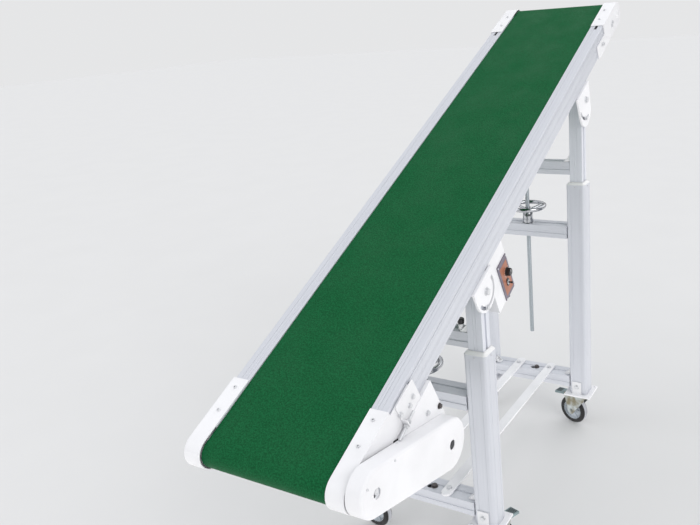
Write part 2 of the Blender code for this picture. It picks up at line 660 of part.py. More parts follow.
# ---------------------------------------------------------------- controls
def build_controls():
    wall, rim = 0.002, 0.006
    low, high = Vector((BOX_X[0], BOX_T[0], BOX_H[0])), Vector((BOX_X[1], BOX_T[1], BOX_H[1]))
    inset = Vector((wall, wall, wall))
    case = add("control_box", box(low, high), WHITE, deck)
    window = box((BOX_X[1] - 0.010, PANEL_T[0] + rim, PANEL_H[0] + rim),
                 (BOX_X[1] + 0.010, PANEL_T[1] - rim, PANEL_H[1] - rim))
    cut(case, box(low + inset, high - inset), window)
    back = BOX_X[1] + GAP
    face = back + SHEET
    sheet = box((back, PANEL_T[0], PANEL_H[0]), (face, PANEL_T[1], PANEL_H[1]))
    panel = add("control_panel", sheet, GREY, deck)
    cut(panel, rod("X", SWITCH_HOLE, 0.18, 0.21, KNOB_AT, 16))

    grip = rod("X", KNOB_RADIUS, face + GAP, face + KNOB_DEEP, radius_end=KNOB_RADIUS - 0.0012)
    knob = add("speed_knob", grip, BLACK, deck, (0, *KNOB_AT))
    top = face + KNOB_DEEP
    join(knob, rod("X", 0.003, face - 0.010, face + 0.005, segments=16),
         box((top - 0.003, -0.001, 0.001), (top + 0.0008, 0.001, KNOB_RADIUS - 0.0025)))
    base = rod("X", SWITCH_HOLE, -0.0015, 0.002, segments=16)
    switch = add("power_switch", base, BLACK, deck, (face + 0.0042, *SWITCH_AT))
    join(switch, rod("X", 0.0022, 0.0, 0.010, segments=12, radius_end=0.0030))


# ---------------------------------------------------------------- assembly
build_legs()
build_beams()
build_lift("front", front_lift, 0.0, 0.792, 0.300, FRONT_UPPER_BOTTOM, FRONT_SCREW_END)
build_lift("rear", rear_lift, REAR_RISE, 1.132, 0.440, REAR_UPPER_BOTTOM, REAR_SCREW_END)
build_handwheel("front", 0.0, FRONT_MID_TOP)
build_handwheel("rear", LEG_SPACING, REAR_MID_TOP)
for end, y in (("front", 0.0), ("rear", LEG_SPACING)):
    for side, sign in SIDES.items():
        build_caster(f"{end}_{side}", sign * LEG_X, y, side == "right")
build_rails()
build_bed()
build_belt()
build_rollers()
build_end_plates()
build_pivot_plates()
build_drive()
build_controls()


def finish_parts():
    """Keep each part's finished mesh, shade it, and centre the machine's outline over the origin."""
    bpy.context.view_layer.update()
    graph = bpy.context.evaluated_depsgraph_get()
    solids = [obj for obj in parts.objects if obj.type == 'MESH']
    finished = {obj: bpy.data.meshes.new_from_object(obj.evaluated_get(graph)) for obj in solids}
    points = []
    for obj, mesh in finished.items():
        mesh.shade_smooth()
        mesh.set_sharp_from_angle(angle=math.radians(35))
        obj.modifiers.clear()
        obj.data = mesh
        points += [obj.matrix_world @ vertex.co for vertex in mesh.vertices]
    for axis in (0, 1):
        values = [point[axis] for point in points]
        machine.location[axis] = -(min(values) + max(values)) / 2


finish_parts()
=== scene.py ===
"""Looks for the inclined belt conveyor: smooth pieces, fasteners and materials on the CAD frame.

Metres.  Deck coordinates are (x, t, h): x to the drive side, t uphill along the deck from the
front pivot, h square to the deck.
"""
import json
import math

import bpy
import bmesh
from mathutils import Matrix, Vector


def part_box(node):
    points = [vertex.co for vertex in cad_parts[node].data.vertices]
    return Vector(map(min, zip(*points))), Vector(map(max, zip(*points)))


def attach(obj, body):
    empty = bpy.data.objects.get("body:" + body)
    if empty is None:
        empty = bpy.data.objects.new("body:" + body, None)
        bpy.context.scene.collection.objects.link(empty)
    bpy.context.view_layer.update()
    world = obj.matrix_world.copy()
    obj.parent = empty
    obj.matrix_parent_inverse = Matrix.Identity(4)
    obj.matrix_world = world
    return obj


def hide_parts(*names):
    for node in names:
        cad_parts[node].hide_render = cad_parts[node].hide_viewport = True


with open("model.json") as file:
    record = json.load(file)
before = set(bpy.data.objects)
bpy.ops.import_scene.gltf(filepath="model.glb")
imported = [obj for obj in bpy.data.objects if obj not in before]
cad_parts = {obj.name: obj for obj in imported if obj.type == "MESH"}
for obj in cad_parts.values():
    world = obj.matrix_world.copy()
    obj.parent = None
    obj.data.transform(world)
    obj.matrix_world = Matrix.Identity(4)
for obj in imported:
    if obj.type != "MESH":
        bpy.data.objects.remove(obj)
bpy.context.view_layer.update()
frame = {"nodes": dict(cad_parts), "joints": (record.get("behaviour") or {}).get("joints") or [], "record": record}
nodes = frame["nodes"]
joints = {joint["name"]: joint for joint in frame["joints"]}

# ---- places, read from the frame
PIVOT = Vector(joints["deck_tilt"]["pos_m"])
UPHILL = Vector(joints["rear_bracket_slide"]["axis"])
INCLINE = math.atan2(UPHILL.z, UPHILL.y)
DECK = Matrix.Translation(PIVOT) @ Matrix.Rotation(INCLINE, 4, 'X')
BODIES = {node: body for body, members in frame["record"]["behaviour"]["bodies"].items()
          for node in members}
SLOTS = {entry["node"]: entry["material_slot"] for entry in frame["record"]["subparts"]}
LABELS = ("front_left", "front_right", "rear_left", "rear_right")
SIDES = {"left": -1, "right": 1}


def deck_point(joint):
    return DECK.inverted() @ Vector(joints[joint]["pos_m"])


def centre(node):
    low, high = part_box(node)
    return (low + high) / 2


TAIL = deck_point("belt_drive")
HEAD = deck_point("head_pulley_spin")
MOTOR = deck_point("motor_sprocket_spin")
MIDDLE = PIVOT.x
LEGS = {label: Vector((*centre(f"outer_leg_{label}").xy, 0)) for label in LABELS}
REAR_T = (LEGS["rear_right"].y - PIVOT.y) / math.cos(INCLINE)
DOWN = Vector((0, -math.sin(INCLINE), -math.cos(INCLINE)))     # straight down, in deck coordinates

RAIL_IN, RAIL_OUT = 0.153, 0.191            # faces of the rails
RAIL_TOP, RAIL_BOTTOM = 0.103, 0.037
PLATE_OUT = 0.1943              # outer face of the end plates
TONGUE_OUT = 0.1973             # outer face of the pivot plates
NOSE_RADIUS = 0.0363
COVER_FACE = 0.234              # outer face of the chain cover
PITCH = 0.0127                  # of the chain
MOTOR_FACE = 0.199              # outer face of the motor plate
BOX_FACE, BOX_BOTTOM = 0.1923, -0.115       # of the control box
FLANGE_X, FLANGE_UNDER = 0.173, RAIL_BOTTOM - 0.0053   # bolts of the pivot plates
CLAMP_FRONT, CLAMP_REAR = 0.04, 0.055     # clamp bolts below the pivots
OUTER_HALF = 0.03               # half width of the outer legs
SHARP = math.radians(32)        # edges sharper than this are softened

# ---- materials


class Look:
    """A Principled material with its texture nodes."""

    def __init__(self, name, colour, roughness, metallic=0.0):
        self.mat = bpy.data.materials.new(name)
        self.mat.use_nodes = True
        self.tree = self.mat.node_tree
        self.shader = self.tree.nodes["Principled BSDF"]
        self.shader.inputs["Base Color"].default_value = (*colour, 1.0)
        self.shader.inputs["Roughness"].default_value = roughness
        self.shader.inputs["Metallic"].default_value = metallic

    def node(self, kind, inputs=(), **values):
        """A new shader node with its settings and the values of its inputs."""
        node = self.tree.nodes.new("ShaderNode" + kind)
        for key, value in values.items():
            setattr(node, key, value)
        for key, value in dict(inputs).items():
            node.inputs[key].default_value = value
        return node

    def link(self, source, target):
        self.tree.links.new(source, target)

    def where(self, scale=(1, 1, 1), turn=(0, 0, 0)):
        """Object coordinates, turned and then stretched."""
        coords = self.node("TexCoord")
        mapping = self.node("Mapping", {"Rotation": turn, "Scale": [1 / s for s in scale]},
                            vector_type='TEXTURE')
        self.link(coords.outputs["Object"], mapping.inputs["Vector"])
        return mapping.outputs["Vector"]

    def noise(self, scale, detail=3.0, stretch=(1, 1, 1), turn=(0, 0, 0)):
        node = self.node("TexNoise", {"Scale": scale, "Detail": detail})
        self.link(self.where(stretch, turn), node.inputs["Vector"])
        return node.outputs["Fac"]

    def wave(self, scale, turn):
        node = self.node("TexWave", {"Scale": scale})
        self.link(self.where((1, 1, 1), turn), node.inputs["Vector"])
        return node.outputs["Fac"]

    def fit(self, source, reach=(0.3, 0.7), to=(0.0, 1.0)):
        names = ("From Min", "From Max", "To Min", "To Max")
        node = self.node("MapRange", zip(names, (*reach, *to)))
        self.link(source, node.inputs["Value"])
        return node.outputs["Result"]

    def vary(self, source, low, high, reach=(0.3, 0.7)):
        """The source drives the base colour between two colours."""
        mix = self.node("Mix", {6: (*low, 1.0), 7: (*high, 1.0)}, data_type='RGBA')
        self.link(self.fit(source, reach), mix.inputs[0])
        self.link(mix.outputs[2], self.shader.inputs["Base Color"])

    def rough(self, source, low, high):
        self.link(self.fit(source, to=(low, high)), self.shader.inputs["Roughness"])

    def bump(self, source, depth, strength=0.5):
        node = self.node("Bump", {"Distance": depth, "Strength": strength})
        earlier = self.shader.inputs["Normal"].links
        if earlier:
            self.link(earlier[0].from_socket, node.inputs["Normal"])
        self.link(source, node.inputs["Height"])
        self.link(node.outputs["Normal"], self.shader.inputs["Normal"])


def scaled(colour, share):
    return tuple(min(c * share, 1.0) for c in colour)


def drawn_aluminium(name, stretch, turn=(0, 0, 0), painted_light_scale=1.0):
    """Anodised extrusion with fine die lines along its length; the last argument brightens its colours as painted
    light.
    """
    look = Look(name, (0.58, 0.6, 0.64), 0.45, 0.35)
    lines = look.noise(1.0, 3.0, stretch, turn)
    look.vary(lines, scaled((0.56, 0.575, 0.62), painted_light_scale), scaled((0.595, 0.61, 0.655), painted_light_scale))
    look.rough(look.noise(14.0, 4.0), 0.42, 0.52)
    look.bump(lines, 0.00005, 0.1)
    look.bump(look.noise(600.0, 2.0), 0.00005, 0.1)
    return look.mat


def white_paint(name, colour=(0.78, 0.78, 0.8)):
    look = Look(name, colour, 0.42)
    look.vary(look.noise(9.0, 6.0), scaled(colour, 0.93), colour, (0.35, 0.6))
    look.rough(look.noise(40.0, 4.0), 0.34, 0.5)
    look.bump(look.noise(500.0, 2.0), 0.0001, 0.1)
    look.shader.inputs["Coat Weight"].default_value = 0.15
    return look.mat


def belt_green():
    """Woven PVC: a fine diamond of two bands, mottled."""
    look = Look("belt_green", (0.003, 0.083, 0.026), 0.62)
    speckle = look.noise(330.0, 3.0)
    look.vary(speckle, (0.001, 0.062, 0.018), (0.005, 0.11, 0.036), (0.36, 0.64))
    look.rough(look.noise(12.0, 5.0), 0.55, 0.75)
    look.bump(look.wave(190.0, (0, 0, math.radians(45))), 0.0003, 0.35)
    look.bump(look.wave(190.0, (0, 0, math.radians(-45))), 0.0003, 0.35)
    look.bump(speckle, 0.0003, 0.5)
    look.shader.inputs["Specular IOR Level"].default_value = 0.1
    return look.mat


def plain_metal(name, colour, roughness, metallic=1.0, grain=260.0, stretch=(1, 1, 1)):
    look = Look(name, colour, roughness, metallic)
    mark = look.noise(grain, 4.0, stretch)
    look.vary(mark, scaled(colour, 0.85), colour)
    look.rough(look.noise(60.0, 3.0), roughness * 0.8, roughness * 1.25)
    look.bump(mark, 0.0001, 0.2)
    return look.mat


def moulded(name, colour, roughness):
    """Plastic or rubber with a fine moulded grain."""
    look = Look(name, colour, roughness)
    look.vary(look.noise(30.0, 5.0), scaled(colour, 0.75), scaled(colour, 1.2))
    look.rough(look.noise(90.0, 3.0), roughness * 0.85, min(roughness * 1.15, 1.0))
    look.bump(look.noise(1100.0, 2.0), 0.0002, 0.25)
    return look.mat


def zinc_plate(name):
    """Zinc that was passivated: patches of straw brown in blue grey."""
    look = Look(name, (0.36, 0.37, 0.33), 0.36, 0.8)
    look.vary(look.noise(38.0, 4.0), (0.21, 0.19, 0.13), (0.46, 0.5, 0.51), (0.36, 0.62))
    look.rough(look.noise(60.0, 3.0), 0.28, 0.45)
    look.bump(look.noise(260.0, 4.0), 0.0001, 0.2)
    return look.mat


FINE, LONG = 500, 5    # die lines of the profiles, across and along
ALONG_DECK = drawn_aluminium("aluminium_deck", (FINE, LONG, FINE), (INCLINE, 0, 0))
UPRIGHT = drawn_aluminium("aluminium_leg", (FINE, FINE, LONG))
# The inner legs get a brighter copy of the same aluminium: painted light that lifts them out of the shade they
# stand in.
INNER = drawn_aluminium("aluminium_inner_leg", (FINE, FINE, LONG), painted_light_scale=1.13)
ACROSS = drawn_aluminium("aluminium_beam", (LONG, FINE, FINE))
WHITE = white_paint("white_paint")
COLLAR = white_paint("collar_white", (0.8, 0.8, 0.8))
BELT = belt_green()
STEEL = plain_metal("bright_steel", (0.62, 0.63, 0.66), 0.3)
ROLLER = plain_metal("roller_steel", (0.55, 0.56, 0.59), 0.28, 1.0, 1.0, (8, 600, 600))
BOLT = plain_metal("zinc_bolt", (0.68, 0.69, 0.71), 0.38, 0.6)
SCREW = plain_metal("screw_steel", (0.42, 0.46, 0.49), 0.42, 0.9)
FORK = zinc_plate("zinc_yellow")
BLACKENED = plain_metal("blackened_steel", (0.09, 0.08, 0.08), 0.4, 0.6)
CHROME = plain_metal("chrome", (0.44, 0.45, 0.47), 0.12)
# Near black for socket floors, a slot floor, a slit and rings: painted shade that stands for depth in recesses.
PAINTED_SHADE = moulded("painted_recess_shade", (0.012, 0.012, 0.014), 0.6)
TYRE = moulded("tyre_rubber", (0.003, 0.003, 0.004), 0.65)
TREAD = moulded("tyre_tread", (0.38, 0.39, 0.42), 0.7)
HUB = moulded("hub_grey", (0.42, 0.46, 0.5), 0.42)
KNOB = moulded("black_plastic", (0.01, 0.01, 0.012), 0.32)
PEDAL = moulded("pedal_grey", (0.2, 0.27, 0.28), 0.45)
PANEL = moulded("panel_grey", (0.14, 0.12, 0.16), 0.4)
COPPER = plain_metal("panel_copper", (0.4, 0.15, 0.085), 0.45, 0.2, 90.0)
MARKS = moulded("white_marks", (0.8, 0.8, 0.8), 0.5)
ENAMEL = moulded("motor_enamel", (0.16, 0.2, 0.23), 0.42)
# Bolt steel, with the near black as painted shade in the socket floors.
FIXING = [BOLT, PAINTED_SHADE]

# ---- mesh kit
TAU = 2 * math.pi
shift = Matrix.Translation


def polar(radius, angle, u=0.0, v=0.0):
    """The point at an angle on a circle round (u, v)."""
    return (u + radius * math.cos(angle), v + radius * math.sin(angle))


def arc(u, v, radius, start, end, count):
    """Points on an arc, angles in degrees."""
    angles = [math.radians(start + (end - start) * k / count) for k in range(count + 1)]
    return [polar(radius, a, u, v) for a in angles]


def wrap(circles, steps=40):
    """A taut loop round circles (u, v, radius), anticlockwise; outside those of negative radius."""
    normals = []
    for (u1, v1, r1), (u2, v2, r2) in zip(circles, circles[1:] + circles[:1]):
        heading = math.atan2(v2 - v1, u2 - u1) - math.asin((r2 - r1) / math.hypot(u2 - u1, v2 - v1))
        normals.append(heading - math.pi / 2)
    points = []
    for i, (u, v, r) in enumerate(circles):
        turn = (normals[i] - normals[i - 1]) % TAU
        if r < 0:
            turn -= TAU
        bends = max(2, round(steps * abs(turn) / math.pi))
        angles = [normals[i - 1] + turn * k / bends for k in range(bends + 1)]
        points += [polar(r, a, u, v) for a in angles]
    return points


def facing(at, direction):
    """A place whose +Z points in the direction."""
    return shift(at) @ Vector(direction).to_track_quat('Z', 'Y').to_matrix().to_4x4()


def on_deck(x, t, h, direction):
    return DECK @ facing((x, t, h), direction)


# local x, y, z of an outline's plane -> deck: u along t, v along h, extruded along x
SIDE_PLANE = DECK @ Matrix(((0, 0, 1, 0), (1, 0, 0, 0), (0, 1, 0, 0), (0, 0, 0, 1)))
# the same, with u along x, v along h, extruded along -t
CROSS_PLANE = DECK @ Matrix(((1, 0, 0, 0), (0, 0, -1, 0), (0, 1, 0, 0), (0, 0, 0, 1)))


def on_side(t, h, x=0.0):
    return SIDE_PLANE @ shift((t, h, x))


class Shape:
    """Geometry gathered for one piece."""

    def __init__(self):
        self.bm = bmesh.new()

    def ring(self, place, points, z):
        return [self.bm.verts.new(place @ Vector((u, v, z))) for u, v in points]

    def skin(self, low, high, slot=0):
        """Faces between two rings with equal counts of points."""
        for k in range(len(low)):
            self.bm.faces.new((low[k - 1], low[k], high[k], high[k - 1])).material_index = slot

    def fill(self, loops, slot=0):
        """A flat face between an outer loop and the holes in it."""
        edges = []
        for loop in loops:
            for i in range(len(loop)):
                ends = (loop[i - 1], loop[i])
                edges.append(self.bm.edges.get(ends) or self.bm.edges.new(ends))
        for item in bmesh.ops.triangle_fill(self.bm, edges=edges, use_beauty=True)["geom"]:
            if isinstance(item, bmesh.types.BMFace):
                item.material_index = slot

    def lathe(self, profile, place=Matrix(), steps=32, slot=0, closed=False):
        """(radius, height) pairs, top to bottom, turned about the place's Z."""
        rings = []
        for r, z in profile:
            count = steps if r > 1e-6 else 1
            rings.append(self.ring(place, [polar(r, TAU * k / steps) for k in range(count)], z))
        pairs = list(zip(rings, rings[1:])) + ([(rings[-1], rings[0])] if closed else [])
        for upper, lower in pairs:
            for k in range(steps):
                n = (k + 1) % steps
                corners = ((upper, k), (lower, k), (lower, n), (upper, n))
                corners = list(dict.fromkeys(ring[i % len(ring)] for ring, i in corners))
                if len(corners) > 2:
                    self.bm.faces.new(corners).material_index = slot

    def extrude(self, outlines, start, end, place=Matrix(), slot=0):
        """Flat outlines (first the outside, then holes) given a thickness along the place's Z."""
        layers = []
        for z in (start, end):
            loops = [self.ring(place, outline, z) for outline in outlines]
            if len(loops) == 1:
                self.bm.faces.new(loops[0]).material_index = slot
            else:
                self.fill(loops, slot)
            layers.append(loops)
        for low, high in zip(*layers):
            self.skin(low, high, slot)
        return self

    def block(self, low, high, place=Matrix(), slot=0):
        (x0, y0, z0), (x1, y1, z1) = low, high
        self.extrude([[(x0, y0), (x1, y0), (x1, y1), (x0, y1)]], z0, z1, place, slot)

    def tube(self, points, start, end, steps=14):
        """A round bar through the points with closed ends; its radius goes from start to end."""
        rings = []
        side = (points[1] - points[0]).orthogonal().normalized()
        for i, point in enumerate(points):
            ahead = (points[min(i + 1, len(points) - 1)] - points[max(i - 1, 0)]).normalized()
            side = (side - ahead * side.dot(ahead)).normalized()
            other = ahead.cross(side)
            r = start + (end - start) * i / (len(points) - 1)
            spokes = [polar(r, TAU * k / steps) for k in range(steps)]
            rings.append([self.bm.verts.new(point + side * u + other * v) for u, v in spokes])
        for low, high in zip(rings, rings[1:]):
            self.skin(low, high)
        self.bm.faces.new(rings[0])
        self.bm.faces.new(rings[-1])

    def bolt(self, place, size=0.006, washer=True, hexed=False):
        """A head on a washer, seated at the place and facing its +Z: hexagon or with a socket."""
        r, tall, seat = size * 0.78, size * 0.62, 0.0
        if washer:
            seat, wide = size * 0.18, size * 1.06
            self.lathe([(0, seat), (size, seat), (wide, seat * 0.6), (wide, 0), (0, 0)], place, 20)
        top = seat + tall
        if hexed:
            rim = size * 0.86
            self.lathe([(0, top), (rim * 0.84, top), (rim, top - tall * 0.18), (rim, seat), (0, seat)],
                       place, 6)
            return
        socket, deep = size * 0.3, top - tall * 0.55
        self.lathe([(0, deep), (socket, deep), (socket, top), (r * 0.86, top), (r, top - tall * 0.22),
                    (r, seat), (0, seat)], place, 18)
        # The socket floor takes the second material; the near black one there is painted shade.
        floor, high, low = socket * 0.98, top - tall * 0.5, top - tall * 0.54
        self.lathe([(0, high), (floor, high), (floor, low), (0, low)], place, 6, slot=1)

    def nut(self, place, size, tall):
        """A hexagon nut with chamfered corners and a thread end standing out of it."""
        r, stud = size * 0.95, size * 0.5
        self.lathe([(stud, tall), (r * 0.84, tall), (r, tall * 0.84), (r, 0), (0, 0)], place, 6)
        self.lathe([(0, tall * 1.35), (size * 0.42, tall * 1.35), (stud, tall * 1.25), (stud, 0.001),
                    (0, 0.001)], place, 14)

    def done(self, name, *finish, **more):
        bmesh.ops.recalc_face_normals(self.bm, faces=self.bm.faces)
        mesh = bpy.data.meshes.new(name)
        self.bm.to_mesh(mesh)
        self.bm.free()
        finish_piece(name, mesh, *finish, **more)


def finish_piece(name, mesh, materials, body, slot, bevel=0.0, replaces=(), segments=2):
    for material in materials:
        mesh.materials.append(material)
    obj = bpy.data.objects.new(name, mesh)
    bpy.context.scene.collection.objects.link(obj)
    mesh.shade_smooth()
    mesh.set_sharp_from_angle(angle=SHARP)
    if bevel:
        mod = obj.modifiers.new("edges", 'BEVEL')
        mod.width = bevel
        mod.segments = segments
        mod.limit_method = 'ANGLE'
        mod.angle_limit = SHARP
        mod.harden_normals = True
    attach(obj, body)
    if replaces:
        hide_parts(*replaces)


def rounded(half, radius, lines=(), count=5):
    """A square section with round corners and, on each side, fine lines at the places given."""
    wide, deep = 0.0005, 0.0006
    side = arc(half - radius, half - radius, radius, 0, 90, count)
    for at in lines:
        side += [(at + wide, half), (at + wide, half - deep), (at - wide, half - deep), (at - wide, half)]
    points = []
    for k in range(4):
        turn = Matrix.Rotation(math.pi / 2 * k, 2)
        points += [tuple(turn @ Vector(point)) for point in side]
    return points


def refine(node, material, bevel=0.0008):
    """The CAD node again, with merged faces and softened edges."""
    bm = bmesh.new()
    bm.from_mesh(nodes[node].data)
    bmesh.ops.remove_doubles(bm, verts=bm.verts, dist=1e-5)
    bmesh.ops.dissolve_limit(bm, angle_limit=math.radians(0.5), verts=bm.verts, edges=bm.edges)
    mesh = bpy.data.meshes.new(f"{node}_finish")
    bm.to_mesh(mesh)
    bm.free()
    for spare in [a.name for a in mesh.attributes if a.name == "custom_normal"]:
        mesh.attributes.remove(mesh.attributes[spare])
    for face in mesh.polygons:
        face.material_index = 0
    finish_piece(f"{node}_finish", mesh, [material], BODIES[node], SLOTS[node], bevel, [node])

# ---- belt, rails and rollers


def make_belt():
    inset, thick, half = 0.1, 0.002, 0.1522
    roller = 0.062 - 0.012 - 0.0003

    def loop(depth):
        wheel, idler = 0.031 - depth, 0.0123 + depth
        return wrap([(TAIL.y, TAIL.z, wheel), (TAIL.y + inset, roller, -idler),
                     (HEAD.y - inset, roller, -idler), (HEAD.y, HEAD.z, wheel)], 48)
    belt = Shape().extrude([loop(0.0)[::-1], loop(thick)], -half, half, SIDE_PLANE)
    belt.done("belt", [BELT], "deck", "belt", replaces=["conveyor_belt"])


def rail_outline(sign):
    """Outside of the extrusion, with the T-slot in its top and fine lines down its side."""
    mid = (RAIL_IN + RAIL_OUT) / 2
    line = 0.0006
    points = [(RAIL_IN, RAIL_BOTTOM), (RAIL_OUT - 0.001, RAIL_BOTTOM), (RAIL_OUT, RAIL_BOTTOM + 0.001)]
    for low, high, deep in ((0.047, 0.0478, line), (0.064, 0.0648, line), (0.069, 0.0698, line),
                            (0.086, 0.0868, line), (0.0925, 0.0955, 2 * line)):
        points += [(RAIL_OUT, low), (RAIL_OUT - deep, low), (RAIL_OUT - deep, high), (RAIL_OUT, high)]
    points += [(RAIL_OUT, RAIL_TOP - 0.0015), (RAIL_OUT - 0.0015, RAIL_TOP)]
    for low, high, deep in ((mid - 0.0045, mid + 0.0045, 0.004), (RAIL_IN + 0.008, RAIL_IN + 0.009, line)):
        points += [(high, RAIL_TOP), (high, RAIL_TOP - deep), (low, RAIL_TOP - deep), (low, RAIL_TOP)]
    points += [(RAIL_IN + 0.001, RAIL_TOP), (RAIL_IN, RAIL_TOP - 0.001)]
    return [(sign * u, v) for u, v in points]


def make_rails():
    """Rails with a cover strip in the top slot, which stops short of the head plates."""
    start, end, strip_end = TAIL.y + 0.035, HEAD.y - 0.035, 1.043
    for side, sign in SIDES.items():
        rail = Shape().extrude([rail_outline(sign)], -end, -start, CROSS_PLANE)
        rail.done(f"rail_profile_{side}", [ALONG_DECK], "deck", "aluminium", 0.0003, [f"side_rail_{side}"], 1)
        mid = sign * (RAIL_IN + RAIL_OUT) / 2
        strip = Shape()
        strip.block((mid - 0.0043, start + 0.001, RAIL_TOP - 0.0036),
                    (mid + 0.0043, strip_end, RAIL_TOP - 0.0002), DECK)
        strip.done(f"slot_cover_{side}", [ALONG_DECK], "deck", "aluminium", 0.0004)
        # Beyond the strip, a near-black sheet in the slot: painted shade, not a part.
        slot = Shape()
        slot.block((mid - 0.0044, strip_end + 0.0004, RAIL_TOP - 0.0038),
                   (mid + 0.0044, end - 0.001, RAIL_TOP - 0.0034), DECK)
        slot.done(f"slot_shade_sheet_{side}", [PAINTED_SHADE], "deck", "black")


def make_rollers():
    for node in ("drive_pulley", "head_pulley", "return_roller_tail", "return_roller_head"):
        refine(node, ROLLER, 0.0006)
    for node in ("driven_sprocket", "motor_sprocket"):
        refine(node, STEEL, 0.0004)
    refine("slider_bed", STEEL, 0.0003)

# ---- end plates, brackets and pivots


def make_plates():
    for node in list(nodes):
        if "_plate" in node:
            refine(node, WHITE, 0.0006)


def make_shaft_caps():
    """A painted cap over each shaft end that stays outside the chain cover."""
    for end, axis in (("tail", TAIL), ("head", HEAD)):
        for side, sign in SIDES.items():
            if end == "tail" and sign > 0:
                continue
            cap = Shape()
            cap.lathe([(0, 0.0016), (0.012, 0.0016), (0.0132, 0.001), (0.0135, 0.0), (0, 0.0)],
                      on_deck(sign * PLATE_OUT, axis.y, axis.z, (sign, 0, 0)), 36)
            cap.done(f"{end}_shaft_cap_{side}", [WHITE], "deck", "white_paint")


def make_take_ups():
    """Angles on the rails, each with the screw that tensions the belt."""
    sheet = 0.0025
    outline = ([(-0.4016, 0.036), (-0.33, 0.036)] + arc(-0.334, 0.09, 0.004, 0, 90, 4)
               + arc(-0.396, 0.09, 0.0056, 90, 180, 4))
    for side, sign in SIDES.items():
        face = sign * (PLATE_OUT + 0.0002)
        out = face + sign * sheet
        bracket = Shape()
        near, far = sorted((face, out))
        bracket.extrude([outline], near, far, SIDE_PLANE)
        near, far = sorted((out - sign * 0.001, out + sign * 0.012))
        bracket.block((near, -0.4016, 0.0365), (far, -0.3985, 0.056), DECK)
        bracket.done(f"take_up_bracket_{side}", [WHITE], "deck", "white_paint", 0.0006)
        screw = Shape()
        x = out + sign * 0.0065
        thread(screw, on_deck(x, -0.37, 0.0455, (0, -1, -0.08)), 0.003, 0.001, 0.0, 0.066)
        screw.nut(on_deck(x, -0.3955, 0.0435, (0, 1, 0.08)), 0.006, 0.005)
        screw.nut(on_deck(x, -0.403, 0.043, (0, -1, -0.08)), 0.006, 0.005)
        screw.done(f"take_up_screw_{side}", FIXING, "deck", "steel")


def thread(shape, place, radius, pitch, start, end):
    """A screw thread as one swept skin."""
    steps, depth = 18, pitch * 0.2
    rows = int((end - start) / pitch * 4) + 1
    rings = []
    for i in range(rows):
        z = start + (end - start) * i / (rows - 1)
        points = []
        for k in range(steps):
            phase = (z / pitch - k / steps) % 1.0
            points.append(polar(radius - depth * abs(2 * phase - 1), TAU * k / steps))
        rings.append(shape.ring(place, points, z))
    for low, high in zip(rings, rings[1:]):
        shape.skin(low, high)
    shape.bm.faces.new(rings[0])
    shape.bm.faces.new(rings[-1])


def make_deck_fasteners():
    bolts = Shape()
    fold_top = TAIL.z + NOSE_RADIUS
    for sign in (-1, 1):
        for t, x in ((-0.4416, 0.173), (-0.4996, 0.173), (1.1044, 0.17), (1.1644, 0.17)):
            bolts.bolt(on_deck(sign * x, t, fold_top, (0, 0, 1)), 0.0046, washer=False)
        for t, h in ((1.152, 0.07), (1.14, 0.064), (1.0384, 0.055), (1.025, 0.06)):
            bolts.bolt(on_deck(sign * PLATE_OUT, t, h, (sign, 0, 0)), 0.006, hexed=True)
        for t, h in ((-0.3496, 0.063), (-0.367, 0.057), (-0.398, 0.07)):
            bolts.bolt(on_deck(sign * (PLATE_OUT + 0.0027), t, h, (sign, 0, 0)), 0.0058, hexed=True)
        for t in (-0.045, 0.015):
            bolts.bolt(on_deck(sign * FLANGE_X, t, FLANGE_UNDER, (0, 0, -1)), 0.0055, hexed=True)
    for t, h in ((-0.335, -0.011), (-0.353, -0.038)):
        bolts.bolt(on_deck(MOTOR_FACE, t, h, (1, 0, 0)), 0.0062, hexed=True)
    bolts.done("deck_bolts", FIXING, "deck", "steel")
    corner = Shape()
    corner.bolt(on_deck(MOTOR_FACE, -0.296, -0.04, (1, 0, 0)), 0.0066, hexed=True)
    corner.done("motor_plate_corner_bolt", [BLACKENED, PAINTED_SHADE], "deck", "steel")
    cover = Shape()
    for t, h in ((-0.469, 0.095), (-0.491, 0.071), (-0.572, 0.106)):
        cover.bolt(on_deck(COVER_FACE, t, h, (1, 0, 0)), 0.003, washer=False)
    cover.done("cover_screws", FIXING, "deck", "steel")
    # A near-black sheet on the end plate where the adjuster slit is: painted shade of the opening.
    slit_shade = Shape()
    run = Vector((0.035, -0.024)).normalized() * 0.0205
    side = Vector((-run.y, run.x)).normalized() * 0.0019
    mid = Vector((-0.4265, 0.0315))
    outline = [tuple(p) for p in (mid - run - side, mid + run - side, mid + run + side, mid - run + side)]
    slit_shade.extrude([outline], PLATE_OUT + 0.0001, PLATE_OUT + 0.0004, SIDE_PLANE)
    slit_shade.done("adjuster_slot_shade", [PAINTED_SHADE], "deck", "black")


def make_pivots():
    """Pivot and clamp bolts ride on the lifting legs, the rear plates' fixings with the plates."""
    for side, sign in SIDES.items():
        for end, t, radius in (("front", 0.0, CLAMP_FRONT), ("rear", REAR_T, CLAMP_REAR)):
            bolts = Shape()
            clamp = Vector((0, t, 0)) + DOWN * radius
            bolts.bolt(on_deck(sign * TONGUE_OUT, t, 0, (sign, 0, 0)), 0.0098, hexed=True)
            bolts.bolt(on_deck(sign * TONGUE_OUT, clamp.y, clamp.z, (sign, 0, 0)), 0.0066, hexed=True)
            bolts.done(f"{end}_pivot_bolts_{side}", FIXING, f"{end}_lift", "steel")
        fixings = Shape()
        for t in (REAR_T - 0.036, REAR_T + 0.036):
            fixings.bolt(on_deck(sign * FLANGE_X, t, FLANGE_UNDER, (0, 0, -1)), 0.0055, hexed=True)
        fixings.done(f"rear_plate_bolts_{side}", FIXING, "rear_brackets", "steel")

# ---- drive


